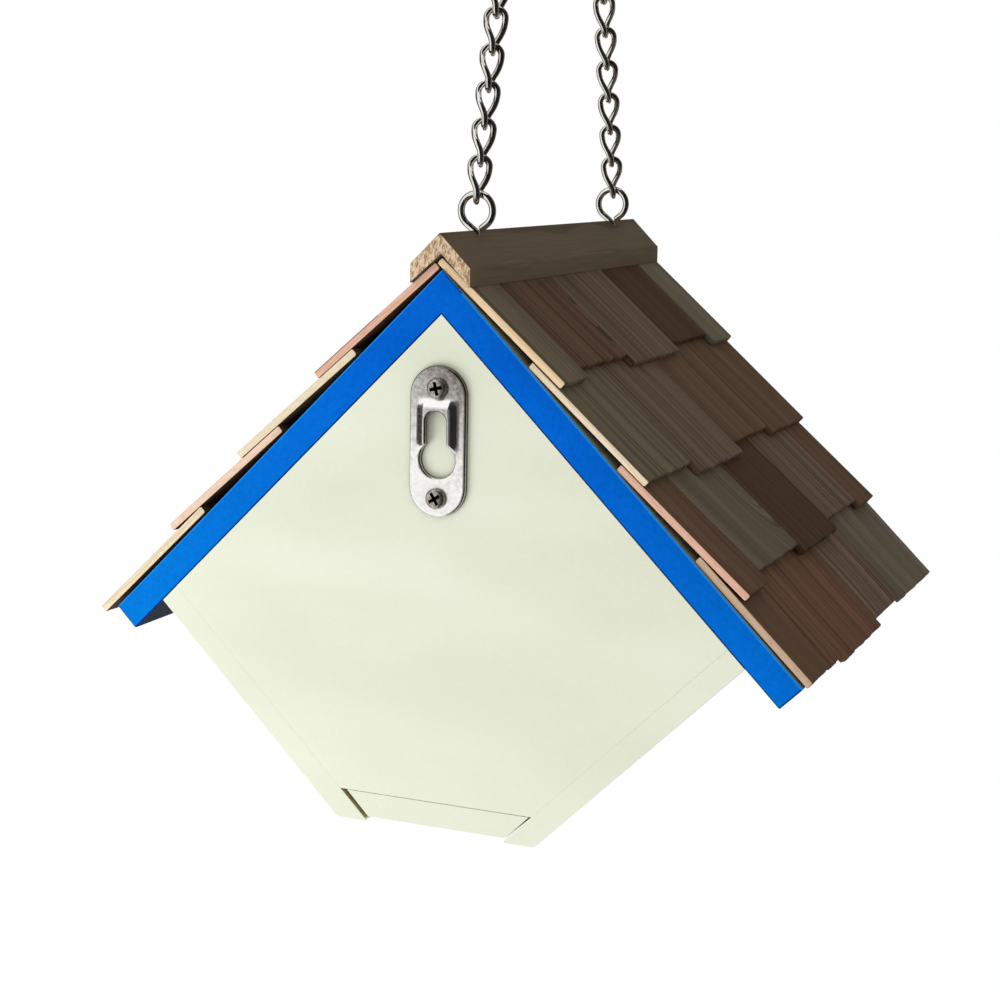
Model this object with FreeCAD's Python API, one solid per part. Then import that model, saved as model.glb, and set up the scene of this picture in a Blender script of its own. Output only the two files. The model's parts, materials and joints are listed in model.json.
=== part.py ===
import FreeCAD, Part
import math
import os

# Hanging wren birdhouse: a square shell standing on one corner, shingled roof, ridge cap,
# two screw eyes with twisted-link chains and hooks, a keyhole plate at the back,
# and a wedge-shaped floor that slides out for cleaning.
#
# Millimetres. X across the house, Y from the front (-Y, entrance) to the back (+Y), Z up.
# The solids are drawn with z = 0 at the ridge of the bare roof boards, and are moved on saving
# so that the origin lies midway between the seats of the two hooks, where the house hangs.
# "left" and "right" are as seen from the front: left is -X, right is +X.

# Shell
roof_slope = 140.6          # ridge to eave, along the top of a roof board
foot_opening = 39.9         # between the inner faces of the side walls, at their cut bottoms
roof_depth = 152.5          # roof boards, front to back
roof_board = 8.2            # thickness of a roof board
eave_overhang = 13.0        # along the slope, beyond the outer face of a side wall
front_overhang = 12.0       # roof beyond the front panel
wall_thickness = 6.5        # side walls
panel_thickness = 6.5       # front and back panels
entrance_diameter = 28.6    # wren entrance
entrance_drop = 76.0        # ridge down to the centre of the entrance

# Clean-out floor
floor_thickness = 6.5
floor_top_rise = 7.9        # top of the floor above the bottoms of the side walls
floor_gap_left = 0.3        # square to the left side wall
floor_gap_right = 1.2       # square to the right side wall
floor_head_gap = 0.4        # under the back panel
floor_end_gap = 0.5         # behind the front panel

# Shingles
shingle_thickness = 2.1
shingle_gap = 0.3           # between neighbours in a course
shingle_back_inset = 0.5    # from the back face of the roof boards
shingle_front_overhang = 1.5
shingle_least_width = 10.0
shingle_start = 1.5         # ridge to the top ends of the first course
shingle_rest_gap = 0.05     # left where one course lies on the next
shingle_eave_lift = 0.7     # tilt of the lowest course, at its lower end

# Each slope: its side, the glue line under its shingles, and its courses from the ridge down.
# A course has the step from its top ends to those of the next course (the last one: to the eave),
# its lap over that course (the last one: past the eave), and, from the back edge to the front,
# the widths of its shingles and how much shorter each is than the longest.
# The first course starts near the ridge and has no step of its own.
left_slope = {
    "name": "left", "side": -1.0, "glue": 0.05,
    "courses": [
        {"lap": 10.1, "widths": (18.5, 38.2, 41.8, 35.0), "short": (0.0, 3.6, 0.6, 3.8, 0.3)},
        {"step": 34.7, "lap": 11.7, "widths": (37.0, 41.1, 37.4, 38.0), "short": (3.6, 0.0, 4.0, 1.6)},
        {"step": 30.4, "lap": 15.8, "widths": (19.1, 40.8, 38.0, 36.6), "short": (0.0, 3.8, 1.0, 5.0, 2.6)},
        {"step": 41.5, "lap": 2.2, "widths": (20.5, 12.0, 44.0, 32.0, 45.0),
         "short": (1.5, 1.4, 0.0, 2.3, 1.1)},
    ],
}
right_slope = {
    "name": "right", "side": 1.0, "glue": 0.8,
    "courses": [
        {"lap": 13.1, "widths": (30.0, 22.0, 41.0, 36.0), "short": (0.0, 3.4, 0.8, 3.9, 0.5)},
        {"step": 31.3, "lap": 15.2, "widths": (40.5, 36.0, 19.0, 42.0), "short": (0.0, 3.7, 0.4, 3.2, 0.9)},
        {"step": 34.2, "lap": 11.9, "widths": (24.0, 39.0, 36.5, 33.0), "short": (0.0, 3.5, 1.0, 4.2, 0.6)},
        {"step": 41.1, "lap": 5.1, "widths": (42.0, 19.5, 40.0, 34.0), "short": (0.0, 2.1, 0.6, 2.4, 0.3)},
    ],
}

# Ridge cap
cap_thickness = 3.6         # square to a slope
cap_cover = 9.0             # ridge to the tip of a leg, along the slope
cap_overhang = 0.75         # past the roof boards at each end

# Bent wires: screw eyes, links and hooks
wire_sides = 8              # flats round a wire
wire_reference = (0.6, 0.64, 0.48)  # sets where the flats start; along no wire
link_facet = 22.5           # degrees of bend from one mitre to the next
hoop_facet = 17.0           # the same, for the larger bends of the eyes and hooks

# Screw eyes
eye_wire = 2.2
eye_radius = 4.5            # centre line of the ring
eye_bend = 1.8              # centre line of the neck
eye_sink = 0.9              # start of the neck below the crest of the cap
eye_shank = 18.0            # straight shank below the neck
eye_opening = 25.0          # degrees of ring left open beside the neck
eye_spacing = 108.5
eye_fit = 0.1               # round the shank
eye_tip_room = 0.4          # under the shank

# Chains
link_wire = 1.8
link_radius = 2.55          # centre line of the two end bends
link_length = 12.0          # centre line, end to end
link_count = 7              # links in each chain
link_play = 0.2             # between wires that hang on each other
link_seam = 0.3             # butt joint of the bent wire
chain_lean = 13.0           # degrees, towards the middle of the house

# Hooks
hook_wire = 2.2
hook_eye = 3.4              # centre line of the lower bend
hook_bend = 5.0             # centre line of the upper bend
hook_reach = 13.0           # between the centres of the two bends
hook_eye_turn = 250.0       # degrees
hook_bend_turn = 238.0      # degrees

# Keyhole plate
plate_height = 40.0
plate_width = 16.2
plate_sheet = 1.5
plate_drop = 24.7           # ridge down to the top of the plate
plate_boss_rise = 1.6       # raised middle, hollow behind
plate_boss_top = 9.3        # from the top of the plate
plate_boss_bottom = 22.6
plate_boss_width = 13.2
plate_boss_slope = 1.8      # run of its sloping sides
slot_top = 11.9
slot_width = 5.8
keyhole_drop = 24.7         # top of the plate to the centre of the large hole
keyhole_radius = 4.9
screw_drops = (5.9, 34.9)
screw_shank = 2.6
screw_length = 7.2          # from the face of the plate
screw_head = 5.6
screw_head_height = 1.5
screw_rim = 0.6             # straight edge of the head
screw_crown = 3.6           # flat top of the head
screw_fit = 0.1             # round the shank
screw_tip_room = 0.2        # under the shank

# Brads, driven below the surface, filled and painted over
brad_width = 1.25           # along the board
brad_gauge = 1.05           # across it
brad_length = 18.0
brad_set = 0.6              # below the outer face
brad_fit = 0.03
brad_inset = 18.0           # from the ends of a panel's edge

# Places that follow from the sizes above
DIAGONAL = math.sqrt(0.5)
back_face = roof_depth / 2.0
roof_front = -roof_depth / 2.0
shell_front = roof_front + front_overhang
wall_outer = roof_slope - eave_overhang
wall_inner = wall_outer - wall_thickness
house_height = wall_inner / DIAGONAL - foot_opening / 2.0
floor_top = floor_top_rise - house_height
back_panel_bottom = floor_top + floor_head_gap
eye_back = eye_spacing / 2.0


def vec(x, y, z):
    return FreeCAD.Vector(x, y, z)


def on_slope(side, along, above):
    """A point (x, z) at a distance down a slope from the ridge and above its roof board."""
    return side * (along + above) * DIAGONAL, (above - along) * DIAGONAL


def flat(points):
    return Part.Face(Part.makePolygon(points + points[:1]))


def prism(outline, y_low, y_high):
    """An outline of (x, z) points, drawn out along Y."""
    return flat([vec(x, y_low, z) for x, z in outline]).extrude(vec(0, y_high - y_low, 0))


def wall_face(depth, height):
    """The x of a right wall's face, given by its distance down the slope, at a height."""
    return depth / DIAGONAL + height


def bent_wire(points, diameter):
    """A round wire drawn as a bar with flat sides, mitred at each point of its centre line."""
    runs = [(b - a).normalize() for a, b in zip(points, points[1:])]
    across = runs[0].cross(vec(*wire_reference)).normalize()
    beside = runs[0].cross(across)
    turns = [2.0 * math.pi * (side + 0.5) / wire_sides for side in range(wire_sides)]
    ring = [points[0] + (across * math.cos(a) + beside * math.sin(a)) * (diameter / 2.0) for a in turns]
    rings = [ring]
    for index, run in enumerate(runs):
        after = runs[min(index + 1, len(runs) - 1)]
        mitre = run + after
        end = points[index + 1]
        ring = [p + run * ((end - p).dot(mitre) / run.dot(mitre)) for p in ring]
        rings.append(ring)
    faces = [flat(rings[0]), flat(rings[-1])]
    for near, far in zip(rings, rings[1:]):
        for side in range(wire_sides):
            beyond = (side + 1) % wire_sides
            faces.append(flat([near[side], near[beyond], far[beyond], far[side]]))
    shell = Part.Shell(faces)
    shell.sewShape()
    solid = Part.Solid(shell)
    if solid.Volume < 0.0:
        solid.reverse()
    section = wire_sides / 2.0 * math.sin(2.0 * math.pi / wire_sides) * diameter ** 2 / 4.0
    length = sum((b - a).Length for a, b in zip(points, points[1:]))
    print("wire of %.1f mm, volume over section and length %.5f" % (length, solid.Volume / section / length))
    return solid


def sweep(place, first, last, largest_turn):
    """Points of an arc given by angle, evenly spaced, both ends included."""
    count = math.ceil(abs(last - first) / math.radians(largest_turn) - 1e-6)
    return [place(first + (last - first) * step / count) for step in range(count + 1)]


def arc(*points):
    return Part.Arc(*points).toShape()


def line(start, end):
    return Part.LineSegment(start, end).toShape()


# Roof covering

def course_lines(slope):
    """Top end, lower end and tilt of each course of a slope, from the ridge down."""
    courses = slope["courses"]
    tops = [roof_slope]
    for course in reversed(courses[1:]):
        tops.insert(0, tops[0] - course["step"])
    ends = [top + course["lap"] for top, course in zip(tops, courses)]
    starts = [shingle_start] + tops[:-1]
    tilts = [math.atan(shingle_eave_lift / (ends[-1] - starts[-1]))]
    for index in range(len(courses) - 2, -1, -1):
        below = tilts[0]
        corner = starts[index + 1] - shingle_thickness * math.sin(below)
        corner_top = shingle_thickness * math.cos(below) + shingle_rest_gap
        lap = ends[index] - starts[index + 1]
        end_top = shingle_thickness / math.cos(below) + lap * math.tan(below) + shingle_rest_gap
        rise = max(corner_top / (corner - starts[index]), end_top / (ends[index] - starts[index]))
        tilts.insert(0, math.atan(rise))
    return list(zip(starts, ends, tilts))


def shingle_spans(widths):
    """The (y_low, y_high) of each shingle of a course, from the back edge to the front."""
    spans = []
    edge = back_face - shingle_back_inset
    last = roof_front - shingle_front_overhang
    while edge > last:
        width = widths[len(spans) % len(widths)]
        near = edge - width
        if near - last < shingle_least_width:
            near = last
        spans.append((near + shingle_gap / 2.0, edge - shingle_gap / 2.0))
        edge = near
    return spans


def shingle_course(slope, course, start, end, tilt):
    """One course: separate tilted boards with staggered lower ends."""
    boards = []
    along = (math.cos(tilt), math.sin(tilt))
    square = (-math.sin(tilt) * shingle_thickness, math.cos(tilt) * shingle_thickness)
    for index, (y_low, y_high) in enumerate(shingle_spans(course["widths"])):
        short = course["short"][index % len(course["short"])]
        length = (end - short - start) / math.cos(tilt)
        foot = (start + length * along[0], slope["glue"] + length * along[1])
        corners = [
            (start, slope["glue"]),
            foot,
            (foot[0] + square[0], foot[1] + square[1]),
            (start + square[0], slope["glue"] + square[1]),
        ]
        outline = [on_slope(slope["side"], *corner) for corner in corners]
        boards.append(prism(outline, y_low, y_high))
    return boards


def cap_seat(slope):
    """Height of the cap's underside above a roof board: it rests on the first course."""
    start, _, tilt = course_lines(slope)[0]
    rise = (cap_cover - start) * math.tan(tilt)
    return slope["glue"] + shingle_thickness / math.cos(tilt) + rise + shingle_rest_gap


def crest(left, right):
    """The (x, z) where planes at these heights above the two roof boards meet."""
    return (right - left) * DIAGONAL, (right + left) * DIAGONAL


seat_left = cap_seat(left_slope)
seat_right = cap_seat(right_slope)
cap_crest = crest(seat_left + cap_thickness, seat_right + cap_thickness)
eye_neck = cap_crest[1] - eye_sink
eye_centre = eye_neck + math.sqrt(eye_radius ** 2 + 2.0 * eye_radius * eye_bend)
eye_tip = eye_neck - eye_shank


def eye_places():
    """The y of the front and the rear screw eye."""
    return {"front": -eye_back, "rear": eye_back}


def shank_holes():
    """Clearance holes for the shanks of the screw eyes, through the cap and into the lapped board."""
    bottom = eye_tip - eye_tip_room
    return [
        Part.makeCylinder(eye_wire / 2.0 + eye_fit, cap_crest[1] + eye_wire - bottom, vec(0, y, bottom))
        for y in eye_places().values()
    ]


def ridge_cap():
    """A moulding with plumb-cut legs that straddles the top ends of both first courses."""
    tip_left = on_slope(-1.0, cap_cover, seat_left)
    tip_right = on_slope(1.0, cap_cover, seat_right)
    plumb = cap_thickness / DIAGONAL
    outline = [
        cap_crest,
        (tip_right[0], tip_right[1] + plumb),
        tip_right,
        crest(seat_left, seat_right),
        tip_left,
        (tip_left[0], tip_left[1] + plumb),
    ]
    cap = prism(outline, roof_front - cap_overhang, back_face + cap_overhang)
    return cap.cut(shank_holes())


# Shell

def brads(kind, fit=0.0):
    """Flat-shanked brads square to the roof boards or to the side walls, into both end panels."""
    edge_foot = -back_panel_bottom / DIAGONAL - wall_inner
    last = {"roof": wall_inner, "wall": edge_foot}[kind] - brad_inset
    half = brad_width / 2.0 + fit
    thick = brad_gauge / 2.0 + fit
    solids = []
    for y in (back_face - panel_thickness / 2.0, shell_front + panel_thickness / 2.0):
        for side in (-1.0, 1.0):
            for reach in (roof_board + brad_inset, last):
                if kind == "roof":
                    along = (reach - half, reach + half)
                    above = (-brad_set - brad_length - fit, -brad_set + fit)
                else:
                    along = (wall_outer - brad_set - brad_length - fit, wall_outer - brad_set + fit)
                    above = (-reach - half, -reach + half)
                corners = [(0, 0), (1, 0), (1, 1), (0, 1)]
                outline = [on_slope(side, along[end], above[face]) for end, face in corners]
                solids.append(prism(outline, y - thick, y + thick))
    return solids


def brad_holes():
    return brads("roof", brad_fit) + brads("wall", brad_fit)


def side_wall(side):
    """A board square to the roof above it, cut level at the bottom."""
    outline = [
        on_slope(side, wall_outer, -roof_board),
        on_slope(side, wall_inner, -roof_board),
        (side * wall_face(wall_inner, -house_height), -house_height),
        (side * wall_face(wall_outer, -house_height), -house_height),
    ]
    return prism(outline, shell_front, back_face).cut(brad_holes())


def roof_board_solid(side, laps):
    """A roof board; the lapping one runs over the end of the other at the ridge."""
    head = 0.0 if laps else roof_board
    outline = [
        on_slope(side, head, 0.0),
        on_slope(side, roof_slope, 0.0),
        on_slope(side, roof_slope, -roof_board),
        on_slope(side, head, -roof_board),
    ]
    board = prism(outline, roof_front, back_face).cut(brad_holes())
    return board.cut(shank_holes()) if laps else board


def end_panel(y_low, bottom):
    """A panel between the roof boards and the side walls, level at the bottom."""
    corner = on_slope(1.0, wall_inner, -roof_board)
    foot = wall_face(wall_inner, bottom)
    outline = [
        crest(-roof_board, -roof_board),
        corner,
        (foot, bottom),
        (-foot, bottom),
        (-corner[0], corner[1]),
    ]
    return prism(outline, y_low, y_low + panel_thickness).cut(brad_holes())


def back_panel():
    """The panel above the floor, with pilot holes for the screws of the keyhole plate."""
    panel = end_panel(back_face - panel_thickness, back_panel_bottom)
    depth = screw_length - plate_sheet + screw_tip_room
    return panel.cut([
        Part.makeCylinder(screw_shank / 2.0 + screw_fit, depth, vec(0, back_face - depth, z), vec(0, 1, 0))
        for z in screw_heights()
    ])


def front_panel():
    panel = end_panel(shell_front, -house_height)
    entrance = Part.makeCylinder(entrance_diameter / 2.0, panel_thickness,
                                 vec(0, shell_front, -entrance_drop), vec(0, 1, 0))
    return panel.cut(entrance)


def clean_out_floor():
    """A wedge, wider at the top, that rides on the slanted inner faces of the side walls."""
    floor_bottom = floor_top - floor_thickness
    left_gap = floor_gap_left / DIAGONAL
    right_gap = floor_gap_right / DIAGONAL
    outline = [
        (wall_face(wall_inner, floor_top) - right_gap, floor_top),
        (wall_face(wall_inner, floor_bottom) - right_gap, floor_bottom),
        (left_gap - wall_face(wall_inner, floor_bottom), floor_bottom),
        (left_gap - wall_face(wall_inner, floor_top), floor_top),
    ]
    return prism(outline, shell_front + panel_thickness + floor_end_gap, back_face)


# Keyhole plate

def screw_heights():
    return [-plate_drop - drop for drop in screw_drops]


def rounded_strip(width, low, high, y_low, y_high):
    """An upright strip with half-round ends."""
    radius = width / 2.0
    edges = [
        line(vec(radius, y_low, low + radius), vec(radius, y_low, high - radius)),
        arc(vec(radius, y_low, high - radius), vec(0, y_low, high), vec(-radius, y_low, high - radius)),
        line(vec(-radius, y_low, high - radius), vec(-radius, y_low, low + radius)),
        arc(vec(-radius, y_low, low + radius), vec(0, y_low, low), vec(radius, y_low, low + radius)),
    ]
    return Part.Face(Part.Wire(edges)).extrude(vec(0, y_high - y_low, 0))


def boss_form(y_low, y_high, shrink):
    """The raised middle: a block whose four sides slope in as it rises."""
    levels = []
    for y, inset in ((y_low, shrink), (y_high, shrink + plate_boss_slope)):
        half = plate_boss_width / 2.0 - inset
        high = -plate_drop - plate_boss_top - inset
        low = -plate_drop - plate_boss_bottom + inset
        corners = [vec(half, y, low), vec(half, y, high), vec(-half, y, high), vec(-half, y, low)]
        levels.append(Part.makePolygon(corners + corners[:1]))
    return Part.makeLoft(levels, True, True)


def keyhole_hanger():
    """A pressed steel plate with a raised, hollow-backed middle and a keyhole through it."""
    face = back_face + plate_sheet
    top = -plate_drop
    reach = plate_sheet + plate_boss_rise
    plate = rounded_strip(plate_width, top - plate_height, top, back_face, face)
    plate = plate.fuse(boss_form(face, face + plate_boss_rise, 0.0))
    plate = plate.cut(boss_form(back_face, back_face + plate_boss_rise, plate_sheet / 2.0))
    slot = rounded_strip(slot_width, top - keyhole_drop, top - slot_top, back_face, back_face + reach)
    plate = plate.cut(slot)
    holes = [(keyhole_radius, top - keyhole_drop)]
    holes += [(screw_shank / 2.0 + screw_fit, z) for z in screw_heights()]
    for radius, z in holes:
        plate = plate.cut(Part.makeCylinder(radius, reach, vec(0, back_face, z), vec(0, 1, 0)))
    return plate.removeSplitter()


def hanger_screws():
    """Wood screws with low coned heads."""
    face = back_face + plate_sheet
    out = vec(0, 1, 0)
    crown = screw_head_height - screw_rim
    screws = []
    for z in screw_heights():
        rim = Part.makeCylinder(screw_head / 2.0, screw_rim, vec(0, face, z), out)
        cone = Part.makeCone(screw_head / 2.0, screw_crown / 2.0, crown, vec(0, face + screw_rim, z), out)
        shank = Part.makeCylinder(screw_shank / 2.0, screw_length, vec(0, face - screw_length, z), out)
        screws.append(rim.fuse([cone, shank]).removeSplitter())
    return screws


# Screw eyes, chains and hooks

def eye_screw(y):
    """Shank, neck and ring bent from one wire; the ring stays open beside the neck."""
    join = math.atan2(eye_bend, eye_centre - eye_neck)

    def on_ring(angle):
        return vec(eye_radius * math.sin(angle), y, eye_centre - eye_radius * math.cos(angle))

    def on_neck(angle):
        return vec(eye_bend - eye_bend * math.cos(angle), y, eye_neck + eye_bend * math.sin(angle))

    points = [vec(0, y, eye_tip)]
    points += sweep(on_neck, 0.0, math.pi / 2.0 - join, link_facet)[:-1]
    points += sweep(on_ring, join, math.pi, hoop_facet)[:-1]
    points += sweep(on_ring, math.pi, 2.0 * math.pi - math.radians(eye_opening), hoop_facet)
    return bent_wire(points, eye_wire)


def twisted_link():
    """A link bent from one wire: its top bend faces Y, its bottom bend is a quarter turn round from it."""
    high = link_length - link_radius
    low = link_radius
    half_run = link_radius * DIAGONAL
    half_drop = (high - low) / 2.0
    turn = 2.0 * math.atan2(half_run, half_drop)
    strand = half_drop / math.sin(turn)
    cut = turn - link_seam / 2.0 / strand
    print("strands of a link bend at %.2f" % strand)

    def upper(side, angle):
        run = strand * (1.0 - math.cos(angle)) * DIAGONAL
        return vec(side * (link_radius - run), side * run, high - strand * math.sin(angle))

    def lower(side, angle):
        run = strand * (1.0 - math.cos(angle)) * DIAGONAL
        return vec(side * run, side * (link_radius - run), low + strand * math.sin(angle))

    def bottom(angle):
        return vec(0, -link_radius * math.cos(angle), low - link_radius * math.sin(angle))

    def top(angle):
        return vec(link_radius * math.cos(angle), 0, high + link_radius * math.sin(angle))

    points = sweep(lambda angle: lower(-1.0, angle), cut, 0.0, link_facet)[:-1]
    points += sweep(bottom, 0.0, math.pi, link_facet)[:-1]
    points += sweep(lambda angle: lower(1.0, angle), 0.0, turn, link_facet)[:-1]
    points += sweep(lambda angle: upper(1.0, angle), turn, 0.0, link_facet)[:-1]
    points += sweep(top, 0.0, math.pi, link_facet)[:-1]
    points += sweep(lambda angle: upper(-1.0, angle), 0.0, cut, link_facet)
    return bent_wire(points, link_wire)


def s_hook():
    """A flat S-hook in the YZ plane, standing on the bottom of its lower bend."""
    swing = math.acos((hook_eye + hook_bend) / hook_reach)
    eye_start = math.pi / 2.0 - swing
    bend_start = 1.5 * math.pi - swing

    def on_eye(angle):
        return vec(0, hook_eye * math.cos(angle), hook_eye + hook_eye * math.sin(angle))

    def on_bend(angle):
        return vec(0, hook_bend * math.cos(angle), hook_eye + hook_reach + hook_bend * math.sin(angle))

    bottom = -math.pi / 2.0
    crown = math.pi / 2.0
    points = sweep(on_eye, eye_start - math.radians(hook_eye_turn), bottom, hoop_facet)[:-1]
    points += sweep(on_eye, bottom, eye_start, hoop_facet)
    points += sweep(on_bend, bend_start, crown, hoop_facet)[:-1]
    points += sweep(on_bend, crown, bend_start - math.radians(hook_bend_turn), hoop_facet)
    return bent_wire(points, hook_wire)


link_pitch = link_length - link_wire - link_play
eye_hang = (eye_wire + link_wire) / 2.0 + link_play
hook_hang = (hook_wire + link_wire) / 2.0 + link_play
lean = math.radians(chain_lean)
ring_top = eye_centre + eye_radius
hook_foot = (link_count - 1) * link_pitch + link_length - hook_hang - eye_hang
hook_seat = hook_foot + hook_eye + hook_reach + hook_bend - hook_wire / 2.0
hang_height = ring_top + hook_seat * math.cos(lean)


def up_chain(end, distance):
    """The point this far up a chain from the top of its screw eye."""
    y = eye_places()[end]
    inward = -math.copysign(math.sin(lean), y)
    return vec(0, y + inward * distance, ring_top + distance * math.cos(lean))


def hang(shape, end, distance):
    """A copy of a link or hook, at its place on a chain and leaning with it."""
    turn = math.copysign(chain_lean, eye_places()[end])
    copy = shape.copy()
    copy.Placement = FreeCAD.Placement(up_chain(end, distance), FreeCAD.Rotation(vec(1, 0, 0), turn))
    return copy


def save(node, solids):
    """Write one node, moved so that the hanging point is the origin."""
    shape = solids[0] if len(solids) == 1 else Part.makeCompound(solids)
    shape = shape.copy()
    shape.translate(vec(0, 0, -hang_height))
    if not shape.isValid():
        raise ValueError("not a valid solid: " + node)
    shape.exportStep("parts/%s.step" % node)


def build():
    os.makedirs("parts", exist_ok=True)
    save("front_panel", [front_panel()])
    save("back_panel", [back_panel()])
    save("left_side_wall", [side_wall(-1.0)])
    save("right_side_wall", [side_wall(1.0)])
    save("left_roof_board", [roof_board_solid(-1.0, False)])
    save("right_roof_board", [roof_board_solid(1.0, True)])
    save("ridge_cap", [ridge_cap()])
    save("clean_out_floor", [clean_out_floor()])
    save("keyhole_hanger", [keyhole_hanger()])
    save("hanger_screws", hanger_screws())
    save("roof_brads", brads("roof"))
    save("wall_brads", brads("wall"))
    for slope in (left_slope, right_slope):
        lines = course_lines(slope)
        for number, (course, (start, end, tilt)) in enumerate(zip(slope["courses"], lines), 1):
            node = "%s_shingles_course_%d" % (slope["name"], number)
            save(node, shingle_course(slope, course, start, end, tilt))
    link = twisted_link()
    hook = s_hook()
    for end, y in eye_places().items():
        save(end + "_eye_screw", [eye_screw(y)])
        for number in range(1, link_count + 1):
            foot = (number - 1) * link_pitch - eye_hang
            save("%s_link_%d" % (end, number), [hang(link, end, foot)])
        save(end + "_hook", [hang(hook, end, hook_foot)])


def report_places():
    """Print the heights of the pivots and other places, from the hanging point."""
    print("ridge z %.4f" % -hang_height)
    print("eye pivot z %.4f" % (eye_centre - hang_height))
    for number in range(1, link_count + 1):
        bend = (number - 1) * link_pitch - eye_hang + link_length - link_radius
        print("pivot over link %d z %.4f" % (number, up_chain("rear", bend).z - hang_height))
    print("hook seat y %.4f" % up_chain("rear", hook_seat).y)
    print("keyhole z %.4f" % (-plate_drop - keyhole_drop - hang_height))
    print("cap crest x %.3f z %.3f above the ridge" % cap_crest)


build()
report_places()
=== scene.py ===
"""Looks of the hanging wren birdhouse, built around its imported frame.

Metres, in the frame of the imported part: +Y is the back with the keyhole plate, +Z is up, and
"left" and "right" are as seen from the front.
"""
import json
import logging
import math
from dataclasses import dataclass
from enum import Enum
from typing import Iterable, Sequence

import bmesh
import bpy
from bmesh.types import BMEdge, BMesh, BMFace, BMVert
from bpy.types import Material, Node, NodeSocket, NodeTree, Object
from mathutils import Matrix, Vector, noise

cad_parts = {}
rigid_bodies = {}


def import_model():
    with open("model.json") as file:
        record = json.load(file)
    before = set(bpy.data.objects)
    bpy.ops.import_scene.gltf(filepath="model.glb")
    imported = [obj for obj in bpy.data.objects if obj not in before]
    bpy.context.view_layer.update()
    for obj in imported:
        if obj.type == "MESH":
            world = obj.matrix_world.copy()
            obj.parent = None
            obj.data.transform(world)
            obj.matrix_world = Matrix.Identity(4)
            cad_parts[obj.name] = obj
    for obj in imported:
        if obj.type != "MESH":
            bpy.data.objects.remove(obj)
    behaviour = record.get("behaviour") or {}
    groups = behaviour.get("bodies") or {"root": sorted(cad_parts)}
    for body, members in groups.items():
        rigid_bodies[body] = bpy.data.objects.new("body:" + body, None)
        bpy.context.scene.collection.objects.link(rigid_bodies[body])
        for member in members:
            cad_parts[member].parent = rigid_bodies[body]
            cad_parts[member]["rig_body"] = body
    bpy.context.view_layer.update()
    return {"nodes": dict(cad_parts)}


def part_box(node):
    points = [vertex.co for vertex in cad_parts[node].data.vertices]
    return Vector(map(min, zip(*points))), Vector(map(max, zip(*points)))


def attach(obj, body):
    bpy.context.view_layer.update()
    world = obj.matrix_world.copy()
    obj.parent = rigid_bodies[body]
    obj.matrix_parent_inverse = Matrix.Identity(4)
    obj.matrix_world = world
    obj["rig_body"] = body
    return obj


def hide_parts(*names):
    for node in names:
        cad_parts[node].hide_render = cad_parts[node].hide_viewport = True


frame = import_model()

LOG = logging.getLogger("birdhouse")
MM = 0.001
X_AXIS = Vector((1.0, 0.0, 0.0))
Y_AXIS = Vector((0.0, 1.0, 0.0))
Z_AXIS = Vector((0.0, 0.0, 1.0))
QUARTER = math.pi / 2.0
NEST = Vector((0.0, 6.0, -196.0)) * MM      # middle of the nest cavity
MERGE = 1e-6                                # distance for joining doubles
NEAR = 1e-5                                 # distance for picking corners by their height
RIDGE = -104.731 * MM                       # ridge of the bare roof boards
BACK = 76.25 * MM                           # back faces of the panel and roof boards
MATT = 0.08                                 # specular level of stained and bare wood
FLAT = 20.0                                 # crease angle that keeps the faces of boards flat
SQUARE = 60.0                               # least angle of an edge that was cut square
FACING = 0.9                                # least share along a way that counts as that way
USUAL = (0.3, 0.7)                          # span that holds most of a noise
CLOUDY = (0.35, 0.65)                       # span over which clouds turn from one tone to the other
WHITE = (1.0, 1.0, 1.0, 1.0)

Colour = tuple[float, float, float, float]
Span = tuple[float, float]
Triple = tuple[float, float, float]
Value = NodeSocket | float | Sequence[float]
Inputs = dict[str | int, Value]
Sockets = dict[str, NodeSocket]


def srgb(red: int, green: int, blue: int) -> Colour:
    """Turns a screen colour into the linear colour that shaders use.

    Args:
        red: Red share, 0 to 255.
        green: Green share.
        blue: Blue share.

    Returns:
        The linear colour, opaque.
    """
    shares = [part / 255.0 for part in (red, green, blue)]
    linear = [s / 12.92 if s <= 0.04045 else ((s + 0.055) / 1.055) ** 2.4 for s in shares]
    return linear[0], linear[1], linear[2], 1.0


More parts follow.
